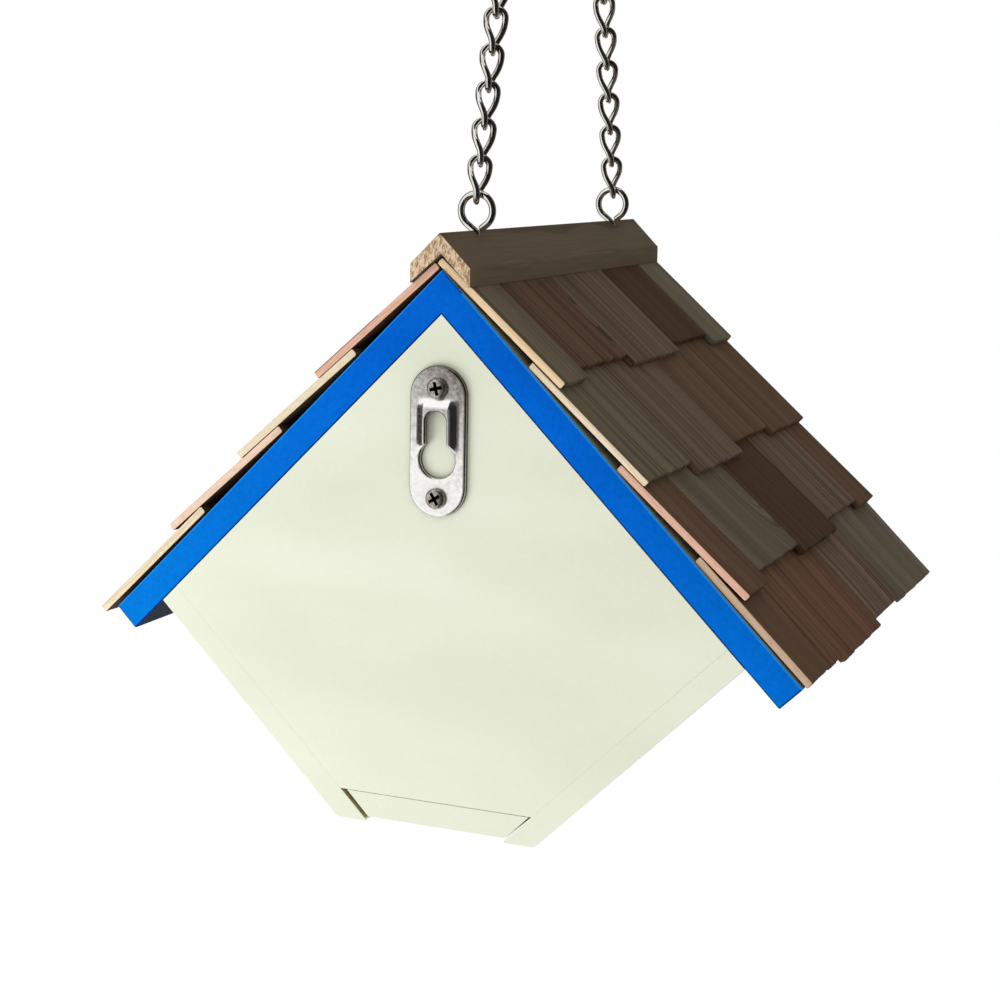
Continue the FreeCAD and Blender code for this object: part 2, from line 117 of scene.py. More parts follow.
class Graph:
    """A node tree with short calls for the nodes that the finishes use."""

    def __init__(self, tree: NodeTree) -> None:
        """Keeps the tree that the calls add to."""
        self.tree = tree

    def feed(self, node: Node, inputs: Inputs) -> Node:
        """Links sockets to a node's inputs or sets their values.

        Args:
            node: The node.
            inputs: Sockets or values, by the input's name or number.

        Returns:
            The same node.
        """
        for key, value in inputs.items():
            if isinstance(value, NodeSocket):
                self.tree.links.new(value, node.inputs[key])
            else:
                node.inputs[key].default_value = value
        return node

    def add(self, kind: str, inputs: Inputs | None = None, **settings: object) -> Node:
        """Adds a node.

        Args:
            kind: The node's type, without its leading ShaderNode.
            inputs: Sockets or values, by the input's name or number.
            settings: Properties of the node, set first.

        Returns:
            The new node.
        """
        node = self.tree.nodes.new("ShaderNode" + kind)
        for key, value in settings.items():
            setattr(node, key, value)
        return self.feed(node, inputs or {})

    def math(self, operation: str, first: Value, second: Value = 0.0, third: Value = 0.0) -> NodeSocket:
        """Adds a sum of up to three values."""
        return self.add("Math", {0: first, 1: second, 2: third}, operation=operation).outputs[0]

    def vectors(self, operation: str, inputs: Inputs, output: int | str = 0) -> NodeSocket:
        """Adds a sum of vectors."""
        return self.add("VectorMath", inputs, operation=operation).outputs[output]

    def ease(self, value: Value, low: float, high: float, start: float = 0.0, end: float = 1.0) -> NodeSocket:
        """Maps a value from the span low-high to the span start-end and holds it at the ends."""
        return self.add("MapRange", {0: value, 1: low, 2: high, 3: start, 4: end}).outputs[0]

    def mix(self, share: Value, first: Value, second: Value, blend: str = "MIX") -> NodeSocket:
        """Mixes two colours by the second one's share."""
        inputs = {0: share, 6: first, 7: second}
        return self.add("Mix", inputs, data_type="RGBA", blend_type=blend).outputs[2]

    def times(self, first: Value, second: Value) -> NodeSocket:
        """Multiplies two colours, or a colour by a value."""
        return self.mix(1.0, first, second, "MULTIPLY")

    def grey(self, value: Value) -> NodeSocket:
        """Turns a value into a grey."""
        return self.add("CombineColor", {0: value, 1: value, 2: value}).outputs[0]

    def turned(self, vector: Value, scale: Triple, turn: Triple = (0.0, 0.0, 0.0)) -> NodeSocket:
        """Turns a place about each axis, in radians, and stretches it."""
        return self.add("Mapping", {"Vector": vector, "Rotation": turn, "Scale": scale}).outputs[0]

    def noise(self, vector: Value, scale: float, detail: float = 2.0, roughness: float = 0.5) -> NodeSocket:
        """Adds cloudy noise of 0 to 1; the scale counts clouds in a metre."""
        inputs = {"Vector": vector, "Scale": scale, "Detail": detail, "Roughness": roughness}
        return self.add("TexNoise", inputs).outputs[0]

    def stripes(self, place: Value, scale: float, detail: float = 2.0) -> NodeSocket:
        """Adds noise along a line, which makes straight uneven stripes."""
        inputs = {"W": place, "Scale": scale, "Detail": detail, "Roughness": 0.6}
        return self.add("TexNoise", inputs, noise_dimensions="1D").outputs[0]

    def place(self) -> NodeSocket:
        """Gives the piece's own coordinates."""
        return self.add("TexCoord").outputs["Object"]

    def apart(self, vector: Value) -> Sequence[NodeSocket]:
        """Splits a place into its three values."""
        return self.add("SeparateXYZ", {0: vector}).outputs

    def carried(self, name: str, output: str = "Fac") -> NodeSocket:
        """Reads a value that the mesh carries."""
        return self.add("Attribute", attribute_name=name).outputs[output]

    def effect(self, tree: NodeTree, inputs: Inputs) -> Sockets:
        """Places a shared effect and gives what it puts out, by name."""
        node = self.feed(self.add("Group", node_tree=tree), inputs)
        return {socket.name: socket for socket in node.outputs}

    def bump(self, height: Value, depth: float, strength: float = 1.0) -> NodeSocket:
        """Turns a height of 0 to 1, of a depth in metres, into a normal."""
        return self.add("Bump", {"Height": height, "Distance": depth, "Strength": strength}).outputs[0]


class Effects:
    """The shader node groups that several finishes share, each built once."""

    STRAY = 6.0 * MM                        # how far a year line strays sideways
    LEAN = 0.4                              # how far year lines lean through a board's thickness
    DRAWN_OUT = (0.025, 1.0, 1.0)           # draws fibres out along the board
    BRUSHED = (1.0, 1.0, 2.6)               # flattens clouds of paint along the strokes
    BRUSH_SLANT = (0.0, math.radians(28.0), 0.0)

    def __init__(self) -> None:
        """Builds the groups."""
        self.grain = self._grain()
        self.film = self._film()
        self.mottle = self._mottle()

    @staticmethod
    def _open(name: str, inputs: Sequence[str], outputs: Sequence[str]) -> tuple[Graph, Sockets, Node]:
        """Starts a node group.

        Args:
            name: Its name.
            inputs: Names of its inputs; Vector is a place and the others are values.
            outputs: Names of its outputs, all values.

        Returns:
            Its tree, its inputs by name, and the node that takes its outputs.
        """
        tree = bpy.data.node_groups.new(name, "ShaderNodeTree")
        for label in inputs:
            kind = "NodeSocketVector" if label == "Vector" else "NodeSocketFloat"
            tree.interface.new_socket(label, in_out="INPUT", socket_type=kind)
        for label in outputs:
            tree.interface.new_socket(label, in_out="OUTPUT", socket_type="NodeSocketFloat")
        entry = tree.nodes.new("NodeGroupInput")
        leave = tree.nodes.new("NodeGroupOutput")
        return Graph(tree), {socket.name: socket for socket in entry.outputs}, leave

    def _grain(self) -> NodeTree:
        """Makes board grain along the first axis: dark year lines, broad streaks and fine fibre.

        Returns:
            The group.
        """
        graph, given, leave = self._open(
            "board_grain", ("Vector", "Lines", "Arch"), ("Lines", "Streaks", "Fibre"))
        along, across, through = graph.apart(given["Vector"])
        wander = graph.noise(given["Vector"], 24.0, 1.0)
        bow = graph.math("MULTIPLY", along, given["Arch"])
        square = graph.math("MULTIPLY_ADD", across, across, graph.math("MULTIPLY", bow, bow))
        place = graph.math("MULTIPLY_ADD", wander, self.STRAY, graph.math("SQRT", square))
        place = graph.math("MULTIPLY_ADD", through, self.LEAN, place)
        place = graph.math("MULTIPLY", place, given["Lines"])
        drawn_out = graph.turned(given["Vector"], self.DRAWN_OUT)
        graph.feed(leave, {
            "Lines": graph.ease(graph.stripes(place, 1.0, 3.0), 0.48, 0.64),
            "Streaks": graph.stripes(place, 0.17, 1.0),
            "Fibre": graph.noise(drawn_out, 1900.0, 2.0, 0.6),
        })
        return graph.tree

    def _film(self) -> NodeTree:
        """Makes brushed paint: soft clouds, its skin, small dents, and the height of both.

        Returns:
            The group.
        """
        graph, given, leave = self._open(
            "paint_film", ("Vector", "Dents"), ("Clouds", "Skin", "Dents", "Height"))
        slanted = graph.turned(given["Vector"], self.BRUSHED, self.BRUSH_SLANT)
        clouds = graph.noise(slanted, 13.0, 2.0, 0.45)
        skin = graph.noise(given["Vector"], 950.0, 3.0, 0.55)
        cells = graph.add("TexVoronoi", {"Vector": given["Vector"], "Scale": 230.0}).outputs["Distance"]
        chosen = graph.ease(graph.noise(given["Vector"], 110.0, 1.0), 0.60, 0.66)
        dents = graph.math("MULTIPLY", graph.ease(cells, 0.05, 0.13, 1.0, 0.0), chosen)
        dents = graph.math("MULTIPLY", dents, given["Dents"])
        height = graph.math("MULTIPLY_ADD", dents, -1.0, graph.math("MULTIPLY", skin, 0.35))
        graph.feed(leave, {"Clouds": clouds, "Skin": skin, "Dents": dents, "Height": height})
        return graph.tree

    def _mottle(self) -> NodeTree:
        """Makes plated metal: cloudy patches and fine grit.

        Returns:
            The group.
        """
        graph, given, leave = self._open("plated_mottle", ("Vector", "Patches"), ("Clouds", "Grit"))
        grown = graph.vectors("SCALE", {0: given["Vector"], "Scale": given["Patches"]})
        clouds = graph.noise(grown, 1.0, 4.0, 0.62)
        grit = graph.noise(grown, 9.0, 2.0, 0.6)
        graph.feed(leave, {"Clouds": clouds, "Grit": grit})
        return graph.tree


def surface(name: str) -> tuple[Material, Graph, Node]:
    """Starts a material.

    Args:
        name: Its name.

    Returns:
        The material, its tree, and its Principled shader.
    """
    material = bpy.data.materials.new(name)
    material.use_nodes = True
    material.node_tree.nodes.clear()
    graph = Graph(material.node_tree)
    shader = graph.add("BsdfPrincipled")
    graph.add("OutputMaterial", {"Surface": shader.outputs[0]})
    return material, graph, shader


@dataclass(frozen=True)
class Finish:
    """A finish of the birdhouse; each kind lays a coat of its own."""

    name: str

    def make(self, effects: Effects) -> Material:
        """Builds the material.

        Args:
            effects: The shared node groups.

        Returns:
            The material.
        """
        material, graph, shader = surface(self.name)
        graph.feed(shader, self.coat(graph, effects))
        return material

    def coat(self, graph: Graph, effects: Effects) -> Inputs:
        """Gives what the shader is fed; each kind of finish has its own."""
        raise NotImplementedError


@dataclass(frozen=True)
class Paint(Finish):
    """Brushed paint over a board."""

    colour: Colour
    cloud: Colour               # where the film is thinner
    edge: Colour                # painted highlight along rounded edges; on the roof boards only those that face up
    groove: Colour              # painted shade along the roof boards' rounded edges that face down, and in dents
    roughness: float
    gloss: float
    dents: float = 1.0
    skin: float = 0.012         # unevenness of its skin
    painted_light: Colour | None = None  # painted light, growing towards the eaves
    spread: Span = (15.0 * MM, 90.0 * MM)
    left_share: float = 0.55    # how much of that the left slope has
    edge_highlight_share: float = 0.8     # strengths of its painted highlight on edges, painted shade on edges and painted shade in dents
    groove_share: float = 0.9
    dent_shade_share: float = 0.3
    uneven: float = 0.05        # how far the clouds change the roughness
    relief: float = 0.12 * MM

    def coat(self, graph: Graph, effects: Effects) -> Inputs:
        """Lays clouded paint, with painted light towards the eaves, a painted highlight on rounded edges, and
        painted shade on down-facing edges and in dents.

        Args:
            graph: The material's tree.
            effects: The shared node groups.

        Returns:
            What the shader is fed.
        """
        film = graph.effect(effects.film, {"Vector": graph.place(), "Dents": self.dents})
        tone = graph.mix(graph.ease(film["Clouds"], *CLOUDY), self.cloud, self.colour)
        # painted light: lighter towards the eaves, less of it on the left slope
        if self.painted_light:
            across = graph.apart(graph.place())[0]
            outward = graph.math("MAXIMUM", across, graph.math("MULTIPLY", across, -self.left_share))
            tone = graph.mix(graph.ease(outward, *self.spread), tone, self.painted_light)
        edge_light_shade = graph.carried("edge")
        # painted highlight where the rounded faces are marked 1, painted shade where they are marked -1
        tone = graph.mix(graph.ease(edge_light_shade, 0.0, 1.0, 0.0, self.edge_highlight_share), tone, self.edge)
        tone = graph.mix(graph.ease(edge_light_shade, 0.0, -1.0, 0.0, self.groove_share), tone, self.groove)
        # painted shade in the dents
        tone = graph.mix(graph.math("MULTIPLY", film["Dents"], self.dent_shade_share), tone, self.groove)
        tone = graph.times(tone, graph.ease(film["Skin"], *USUAL, 1.0 - self.skin, 1.0 + self.skin))
        rough = graph.ease(film["Clouds"], *USUAL, self.roughness + self.uneven, self.roughness - self.uneven)
        normal = graph.bump(film["Height"], self.relief, 0.6)
        return {"Base Color": tone, "Roughness": rough, "Normal": normal, "Specular IOR Level": self.gloss}


@dataclass(frozen=True)
class Wood(Finish):
    """Matt wood, stained or bare."""

    @staticmethod
    def shaded(graph: Graph, tone: Value, grain: Sockets, streaks: Span, fibre: Span) -> NodeSocket:
        """Shades a colour by its grain.

        Args:
            graph: The material's tree.
            tone: The colour.
            grain: What the grain's node group puts out.
            streaks: Darkest and palest share in its streaks.
            fibre: The same in its fibre.

        Returns:
            The shaded colour.
        """
        shade = graph.ease(grain["Streaks"], *USUAL, *streaks)
        shade = graph.math("MULTIPLY", shade, graph.ease(grain["Fibre"], *USUAL, *fibre))
        return graph.times(tone, shade)

    @staticmethod
    def matt(tone: Value, rough: Value, normal: Value) -> Inputs:
        """Gives what the shader of matt wood is fed."""
        return {"Base Color": tone, "Roughness": rough, "Normal": normal, "Specular IOR Level": MATT}


@dataclass(frozen=True)
class PlainWood(Wood):
    """Bare or stained wood whose grain runs from front to back."""

    colour: Colour
    line: Colour                # in the year lines
    lines: float                # year lines in a metre
    share: float                # strength of the year lines
    roughness: float
    line_roughness: float = 0.95
    streaks: Span = (0.86, 1.12)
    fibre: Span = (0.9, 1.1)
    relief: float = 0.1 * MM

    def coat(self, graph: Graph, effects: Effects) -> Inputs:
        """Lays straight grain.

        Args:
            graph: The material's tree.
            effects: The shared node groups.

        Returns:
            What the shader is fed.
        """
        x, y, z = graph.apart(graph.place())
        vector = graph.add("CombineXYZ", {0: y, 1: x, 2: z}).outputs[0]
        grain = graph.effect(effects.grain, {"Vector": vector, "Lines": self.lines, "Arch": 0.0})
        share = graph.math("MULTIPLY", grain["Lines"], self.share)
        tone = graph.mix(share, self.colour, self.line)
        tone = self.shaded(graph, tone, grain, self.streaks, self.fibre)
        normal = graph.bump(graph.math("SUBTRACT", grain["Fibre"], share), self.relief, 0.5)
        return self.matt(tone, graph.ease(share, 0.0, 1.0, self.roughness, self.line_roughness), normal)


@dataclass(frozen=True)
class StainedShingle(Wood):
    """Stained split cedar; each board carries its own stain, grain and grooves."""

    lines: float = 760.0        # year lines in a metre
    deep: Colour = (0.42, 0.38, 0.36, 1.0)      # tint of lines and grooves
    groove_share: float = 0.9
    streaks: Span = (0.84, 1.14)
    fibre: Span = (0.88, 1.1)
    roughness: Span = (0.72, 0.88)
    relief: float = 0.12 * MM

    def coat(self, graph: Graph, effects: Effects) -> Inputs:
        """Lays the stain over the board's own grain.

        Args:
            graph: The material's tree.
            effects: The shared node groups.

        Returns:
            What the shader is fed.
        """
        vector, arch = graph.carried("grain", "Vector"), graph.carried("arch")
        grain = graph.effect(effects.grain, {"Vector": vector, "Lines": self.lines, "Arch": arch})
        stain = graph.carried("stain", "Color")
        share = graph.math("MULTIPLY", grain["Lines"], graph.carried("stripe"))
        groove = graph.math("MULTIPLY", graph.carried("groove"), self.groove_share)
        share = graph.math("MAXIMUM", share, groove)
        tone = graph.mix(share, stain, graph.times(stain, self.deep))
        tone = self.shaded(graph, tone, grain, self.streaks, self.fibre)
        height = graph.math("MULTIPLY_ADD", share, -0.6, grain["Fibre"])
        rough = graph.ease(grain["Fibre"], *USUAL, *self.roughness)
        return self.matt(tone, rough, graph.bump(height, self.relief, 0.6))


@dataclass(frozen=True)
class SawnEdge(Wood):
    """Bare wood at a sawn edge, in the colour that the mesh carries."""

    lines: float = 900.0        # year lines in a metre
    line_share: float = 0.4
    speckle: float = 0.35       # strength of the pores
    deep: Colour = (0.72, 0.58, 0.48, 1.0)      # tint of lines and pores
    roughness: Span = (0.7, 0.9)
    relief: float = 0.15 * MM

    def coat(self, graph: Graph, effects: Effects) -> Inputs:
        """Lays pale wood with pores.

        Args:
            graph: The material's tree.
            effects: The shared node groups.

        Returns:
            What the shader is fed.
        """
        vector = graph.carried("grain", "Vector")
        turned = graph.turned(vector, (1.0, 1.0, 1.0), (QUARTER, 0.0, 0.0))
        grain = graph.effect(effects.grain, {"Vector": turned, "Lines": self.lines, "Arch": 0.0})
        bare = graph.carried("bare", "Color")
        pores = graph.noise(graph.turned(vector, (0.25, 1.0, 1.0)), 1500.0, 2.0, 0.6)
        pores = graph.ease(pores, 0.52, 0.72)
        share = graph.math("MULTIPLY", grain["Lines"], self.line_share)
        share = graph.math("MAXIMUM", share, graph.math("MULTIPLY", pores, self.speckle))
        tone = graph.mix(share, bare, graph.times(bare, self.deep))
        normal = graph.bump(graph.math("SUBTRACT", grain["Fibre"], pores), self.relief, 0.6)
        return self.matt(tone, graph.ease(share, 0.0, 1.0, *self.roughness), normal)


@dataclass(frozen=True)
class EndGrain(Wood):
    """The sawn ends of the ridge cap: tan with short dark flecks."""

    colour: Colour
    pale: Colour                # in its patches
    fleck: Colour
    pale_share: float = 0.5
    fleck_share: float = 0.8
    slant: float = math.radians(-24.0)      # of the flecks
    roughness: Span = (0.7, 0.95)
    relief: float = 0.25 * MM

    def coat(self, graph: Graph, effects: Effects) -> Inputs:
        """Lays patches and flecks.

        Args:
            graph: The material's tree.
            effects: The shared node groups.

        Returns:
            What the shader is fed.
        """
        place = graph.place()
        slanted = graph.turned(place, (1.0, 0.4, 0.42), (0.0, self.slant, 0.0))
        flecks = graph.ease(graph.noise(slanted, 1700.0, 3.0, 0.65), 0.47, 0.64)
        patches = graph.effect(effects.mottle, {"Vector": place, "Patches": 420.0})["Clouds"]
        tone = graph.mix(graph.ease(patches, *CLOUDY, 0.0, self.pale_share), self.colour, self.pale)
        tone = graph.mix(graph.math("MULTIPLY", flecks, self.fleck_share), tone, self.fleck)
        normal = graph.bump(graph.math("MULTIPLY", flecks, -1.0), self.relief, 0.7)
        return self.matt(tone, graph.ease(flecks, 0.0, 1.0, *self.roughness), normal)


@dataclass(frozen=True)
class Plating(Finish):
    """Plated steel."""

    colour: Colour
    dull: Colour                # in its patches
    patches: float              # patches in a metre
    roughness: float
    spread: float               # of the roughness over the patches
    grit: float = 0.0
    metal: float = 0.98         # how far it shines as bare metal
    relief: float = 0.02 * MM

    def coat(self, graph: Graph, effects: Effects) -> Inputs:
        """Lays patchy plating.

        Args:
            graph: The material's tree.
            effects: The shared node groups.

        Returns:
            What the shader is fed.
        """
        mottle = graph.effect(effects.mottle, {"Vector": graph.place(), "Patches": self.patches})
        share = graph.ease(mottle["Clouds"], 0.38, 0.62)
        tone = graph.mix(share, self.dull, self.colour)
        rough = graph.ease(share, 0.0, 1.0, self.roughness + self.spread, self.roughness)
        normal = graph.bump(mottle["Grit"], self.relief, self.grit)
        return {"Base Color": tone, "Roughness": rough, "Normal": normal, "Metallic": self.metal,
                **self.painted_shading(graph, tone, mottle["Clouds"])}

    def painted_shading(self, graph: Graph, tone: NodeSocket, clouds: NodeSocket) -> Inputs:
        """Gives the inputs that painted light and shade change; plain plating has none."""
        return {}


@dataclass(frozen=True)
class PressedPlating(Plating):
    """Plated sheet with painted shade towards one end, a painted highlight where it is bent and painted shade
    down its sides.
    """

    end_shade: Colour = WHITE         # tint of the painted shade at one end
    side: Colour = WHITE        # painted shade down its sheared sides
    bend_metal: float = 0.98        # how far its bends shine as bare metal
    bends: Span = (0.1, 0.7)    # share of a bend from which, and at which, it takes the painted highlight and shines as bare metal
    # the painted shade is full near the first point and gone past the second
    shade_full_at: Vector = Vector((-7.0, 77.0, -134.0)) * MM
    shade_gone_at: Vector = Vector((6.0, 77.0, -158.0)) * MM

    def painted_shading(self, graph: Graph, tone: NodeSocket, clouds: NodeSocket) -> Inputs:
        """Paints shade towards one end, a highlight on the bends and shade down the sides.

        Args:
            graph: The material's tree.
            tone: Colour of the plating.
            clouds: Its patches.

        Returns:
            The colour with its painted light and shade, and how far it shines as metal.
        """
        way = self.shade_gone_at - self.shade_full_at
        past = graph.vectors("SUBTRACT", {0: graph.place(), 1: self.shade_full_at})
        past = graph.vectors("DOT_PRODUCT", {0: past, 1: way / way.length_squared}, "Value")
        past = graph.math("MULTIPLY_ADD", clouds, 0.9, past)
        # painted shade towards one end, broken up by the patches
        tone = graph.times(tone, graph.mix(graph.ease(past, 0.35, 1.35), self.end_shade, WHITE))
        pressed, side = graph.carried("pressed"), graph.carried("side")
        # painted highlight on the slopes of the raised middle
        tone = graph.mix(graph.ease(pressed, *self.bends), tone, self.colour)
        # painted shade down the sheared sides
        tone = graph.mix(graph.ease(side, 0.2, 1.0), tone, self.side)
        bent = graph.math("MAXIMUM", pressed, graph.math("MULTIPLY", side, 4.0))
        return {"Base Color": tone, "Metallic": graph.ease(bent, *self.bends, self.metal, self.bend_metal)}


class Palette:
    """Every finish of the birdhouse as a material."""

    def __init__(self) -> None:
        """Builds the materials."""
        effects = Effects()
        # the third colour of each paint is its painted highlight on edges and the fourth its painted shade;
        # the blue's last colour is painted light towards the eaves
        self.cream = Paint("cream_paint", srgb(236, 240, 220), srgb(229, 233, 210), srgb(240, 243, 226),
                           srgb(214, 218, 198), roughness=0.5, gloss=0.15, dents=0.5).make(effects)
        self.blue = Paint("blue_paint", srgb(0, 103, 214), srgb(0, 95, 203), srgb(40, 150, 245),
                          srgb(2, 22, 92), roughness=0.42, gloss=0.03, skin=0.09,
                          painted_light=srgb(0, 119, 215)).make(effects)
        self.bare = PlainWood("bare_board", srgb(168, 152, 112), srgb(128, 110, 74),
                              lines=420.0, share=0.5, roughness=0.75).make(effects)
        self.soffit = PlainWood("soffit_stain", srgb(44, 51, 66), srgb(34, 39, 52),
                                lines=380.0, share=0.5, roughness=0.8).make(effects)
        self.deck = PlainWood("deck_stain", srgb(150, 150, 124), srgb(112, 114, 94),
                              lines=380.0, share=0.5, roughness=0.8).make(effects)
        self.cap = PlainWood("stained_cap", srgb(96, 83, 65), srgb(74, 61, 46),
                             lines=260.0, share=0.6, roughness=0.8).make(effects)
        self.cap_end = EndGrain("cap_end_grain", srgb(230, 203, 168), srgb(232, 208, 170),
                                srgb(134, 92, 60)).make(effects)
        self.shingle = StainedShingle("stained_shingle").make(effects)
        self.sawn = SawnEdge("sawn_edge").make(effects)
        self.bright = Plating("bright_zinc", srgb(238, 236, 231), srgb(214, 209, 200),
                              patches=320.0, roughness=0.07, spread=0.05).make(effects)
        # the plate carries painted shade towards its upper end and down its sides, and a painted highlight on
        # its bends
        self.plate = PressedPlating("galvanised_plate", srgb(253, 252, 250), srgb(242, 239, 235),
                                    patches=1100.0, roughness=0.16, spread=0.08, grit=0.25, metal=0.6,
                                    end_shade=(0.185, 0.164, 0.144, 1.0), side=srgb(102, 92, 81)).make(effects)
        self.dull = Plating("dull_zinc", srgb(204, 198, 190), srgb(140, 133, 124),
                            patches=1300.0, roughness=0.22, spread=0.12, grit=0.4, metal=0.92).make(effects)
        self.steel = Plating("brad_steel", srgb(150, 150, 152), srgb(112, 112, 114),
                             patches=1200.0, roughness=0.38, spread=0.15, grit=0.4).make(effects)


def copy_of(node: str) -> BMesh:
    """Copies a CAD node's mesh and joins its loose triangles.

    Args:
        node: The CAD node.

    Returns:
        The joined copy.
    """
    mesh = bmesh.new()
    mesh.from_mesh(frame["nodes"][node].data)
    bmesh.ops.remove_doubles(mesh, verts=mesh.verts, dist=MERGE)
    return mesh


def hull_of(node: str) -> BMesh:
    """Gives the convex outside of a CAD node with whole flat faces, so that holes of hidden brads are filled.

    Args:
        node: The CAD node.

    Returns:
        The closed outside.
    """
    copy = copy_of(node)
    mesh = bmesh.new()
    for vert in copy.verts:
        mesh.verts.new(vert.co)
    copy.free()
    bmesh.ops.convex_hull(mesh, input=mesh.verts)
    loose = [vert for vert in mesh.verts if not vert.link_faces]
    bmesh.ops.delete(mesh, geom=loose, context="VERTS")
    flatten(mesh)
    return mesh


def flatten(mesh: BMesh) -> None:
    """Joins the triangles of each flat face."""
    bmesh.ops.dissolve_limit(mesh, angle_limit=math.radians(1.0), verts=mesh.verts, edges=mesh.edges)


def join(mesh: BMesh, part: BMesh) -> None:
    """Adds a finished part to a mesh.

    Args:
        mesh: The mesh that grows.
        part: The part, which is used up.
    """
    carrier = bpy.data.meshes.new("joined_part")
    part.to_mesh(carrier)
    part.free()
    mesh.from_mesh(carrier)
    bpy.data.meshes.remove(carrier)


def verts_in(parts: Iterable[object]) -> list[BMVert]:
    """Picks the vertices out of what an operator made."""
    return [part for part in parts if isinstance(part, BMVert)]


def edges_in(parts: Iterable[object]) -> list[BMEdge]:
    """Picks the edges out of what an operator made."""
    return [part for part in parts if isinstance(part, BMEdge)]


def edges_at(verts: Iterable[BMVert]) -> list[BMEdge]:
    """Lists the edges at some vertices, each once."""
    return list(dict.fromkeys(edge for vert in verts for edge in vert.link_edges))


def ends_of(edges: Iterable[BMEdge]) -> list[BMVert]:
    """Lists the vertices of some edges, each once."""
    return list(dict.fromkeys(vert for edge in edges for vert in edge.verts))


def extruded(mesh: BMesh, edges: list[BMEdge]) -> list[BMEdge]:
    """Draws a band out of a row of edges and gives the band's new rim."""
    grown = bmesh.ops.extrude_edge_only(mesh, edges=edges)["geom"]
    return [edge for edge in edges_in(grown) if all(vert in grown for vert in edge.verts)]


def sharp_edges(mesh: BMesh, least: float = 30.0) -> list[BMEdge]:
    """Lists the edges whose faces meet at more than an angle in degrees."""
    return [e for e in mesh.edges if e.is_manifold and e.calc_face_angle() > math.radians(least)]


def bevel(mesh: BMesh, edges: Iterable[BMEdge], width: float, segments: int) -> list[BMFace]:
    """Rounds edges in steps and gives the new faces."""
    return bmesh.ops.bevel(mesh, geom=list(edges), offset=width, affect="EDGES", segments=segments,
                           profile=0.5, material=-1, clamp_overlap=True)["faces"]


def round_edges(mesh: BMesh, edges: Iterable[BMEdge], width: float, segments: int = 2) -> None:
    """Rounds edges and marks the rounded faces, which the paint gives a painted highlight.

    Args:
        mesh: The mesh.
        edges: The edges.
        width: Width of the rounding.
        segments: Steps across it.
    """
    edge_light_shade = mesh.faces.layers.float.get("edge") or mesh.faces.layers.float.new("edge")
    for face in bevel(mesh, edges, width, segments):
        face[edge_light_shade] = 1.0


def settle(mesh: BMesh, name: str, nodes: Sequence[str], finishes: Sequence[Material],
           crease: float = 42.0) -> None:
    """Makes a mesh a piece of the object in place of CAD nodes.

    Args:
        mesh: The mesh, which is used up.
        name: The piece's name.
        nodes: The CAD nodes that it stands for; it rides on their body.
        finishes: Its materials.
        crease: Angle in degrees from which an edge is shaded as a crease.
    """
    data = bpy.data.meshes.new(name)
    for face in mesh.faces:
        face.smooth = True
    mesh.to_mesh(data)
    mesh.free()
    data.set_sharp_from_angle(angle=math.radians(crease))
    for finish in finishes:
        data.materials.append(finish)
    piece = bpy.data.objects.new(name, data)
    bpy.context.scene.collection.objects.link(piece)
    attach(piece, frame["nodes"][nodes[0]]["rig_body"])
    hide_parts(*nodes)
    LOG.info("%s stands for %s, %d faces", name, ", ".join(nodes), len(data.polygons))


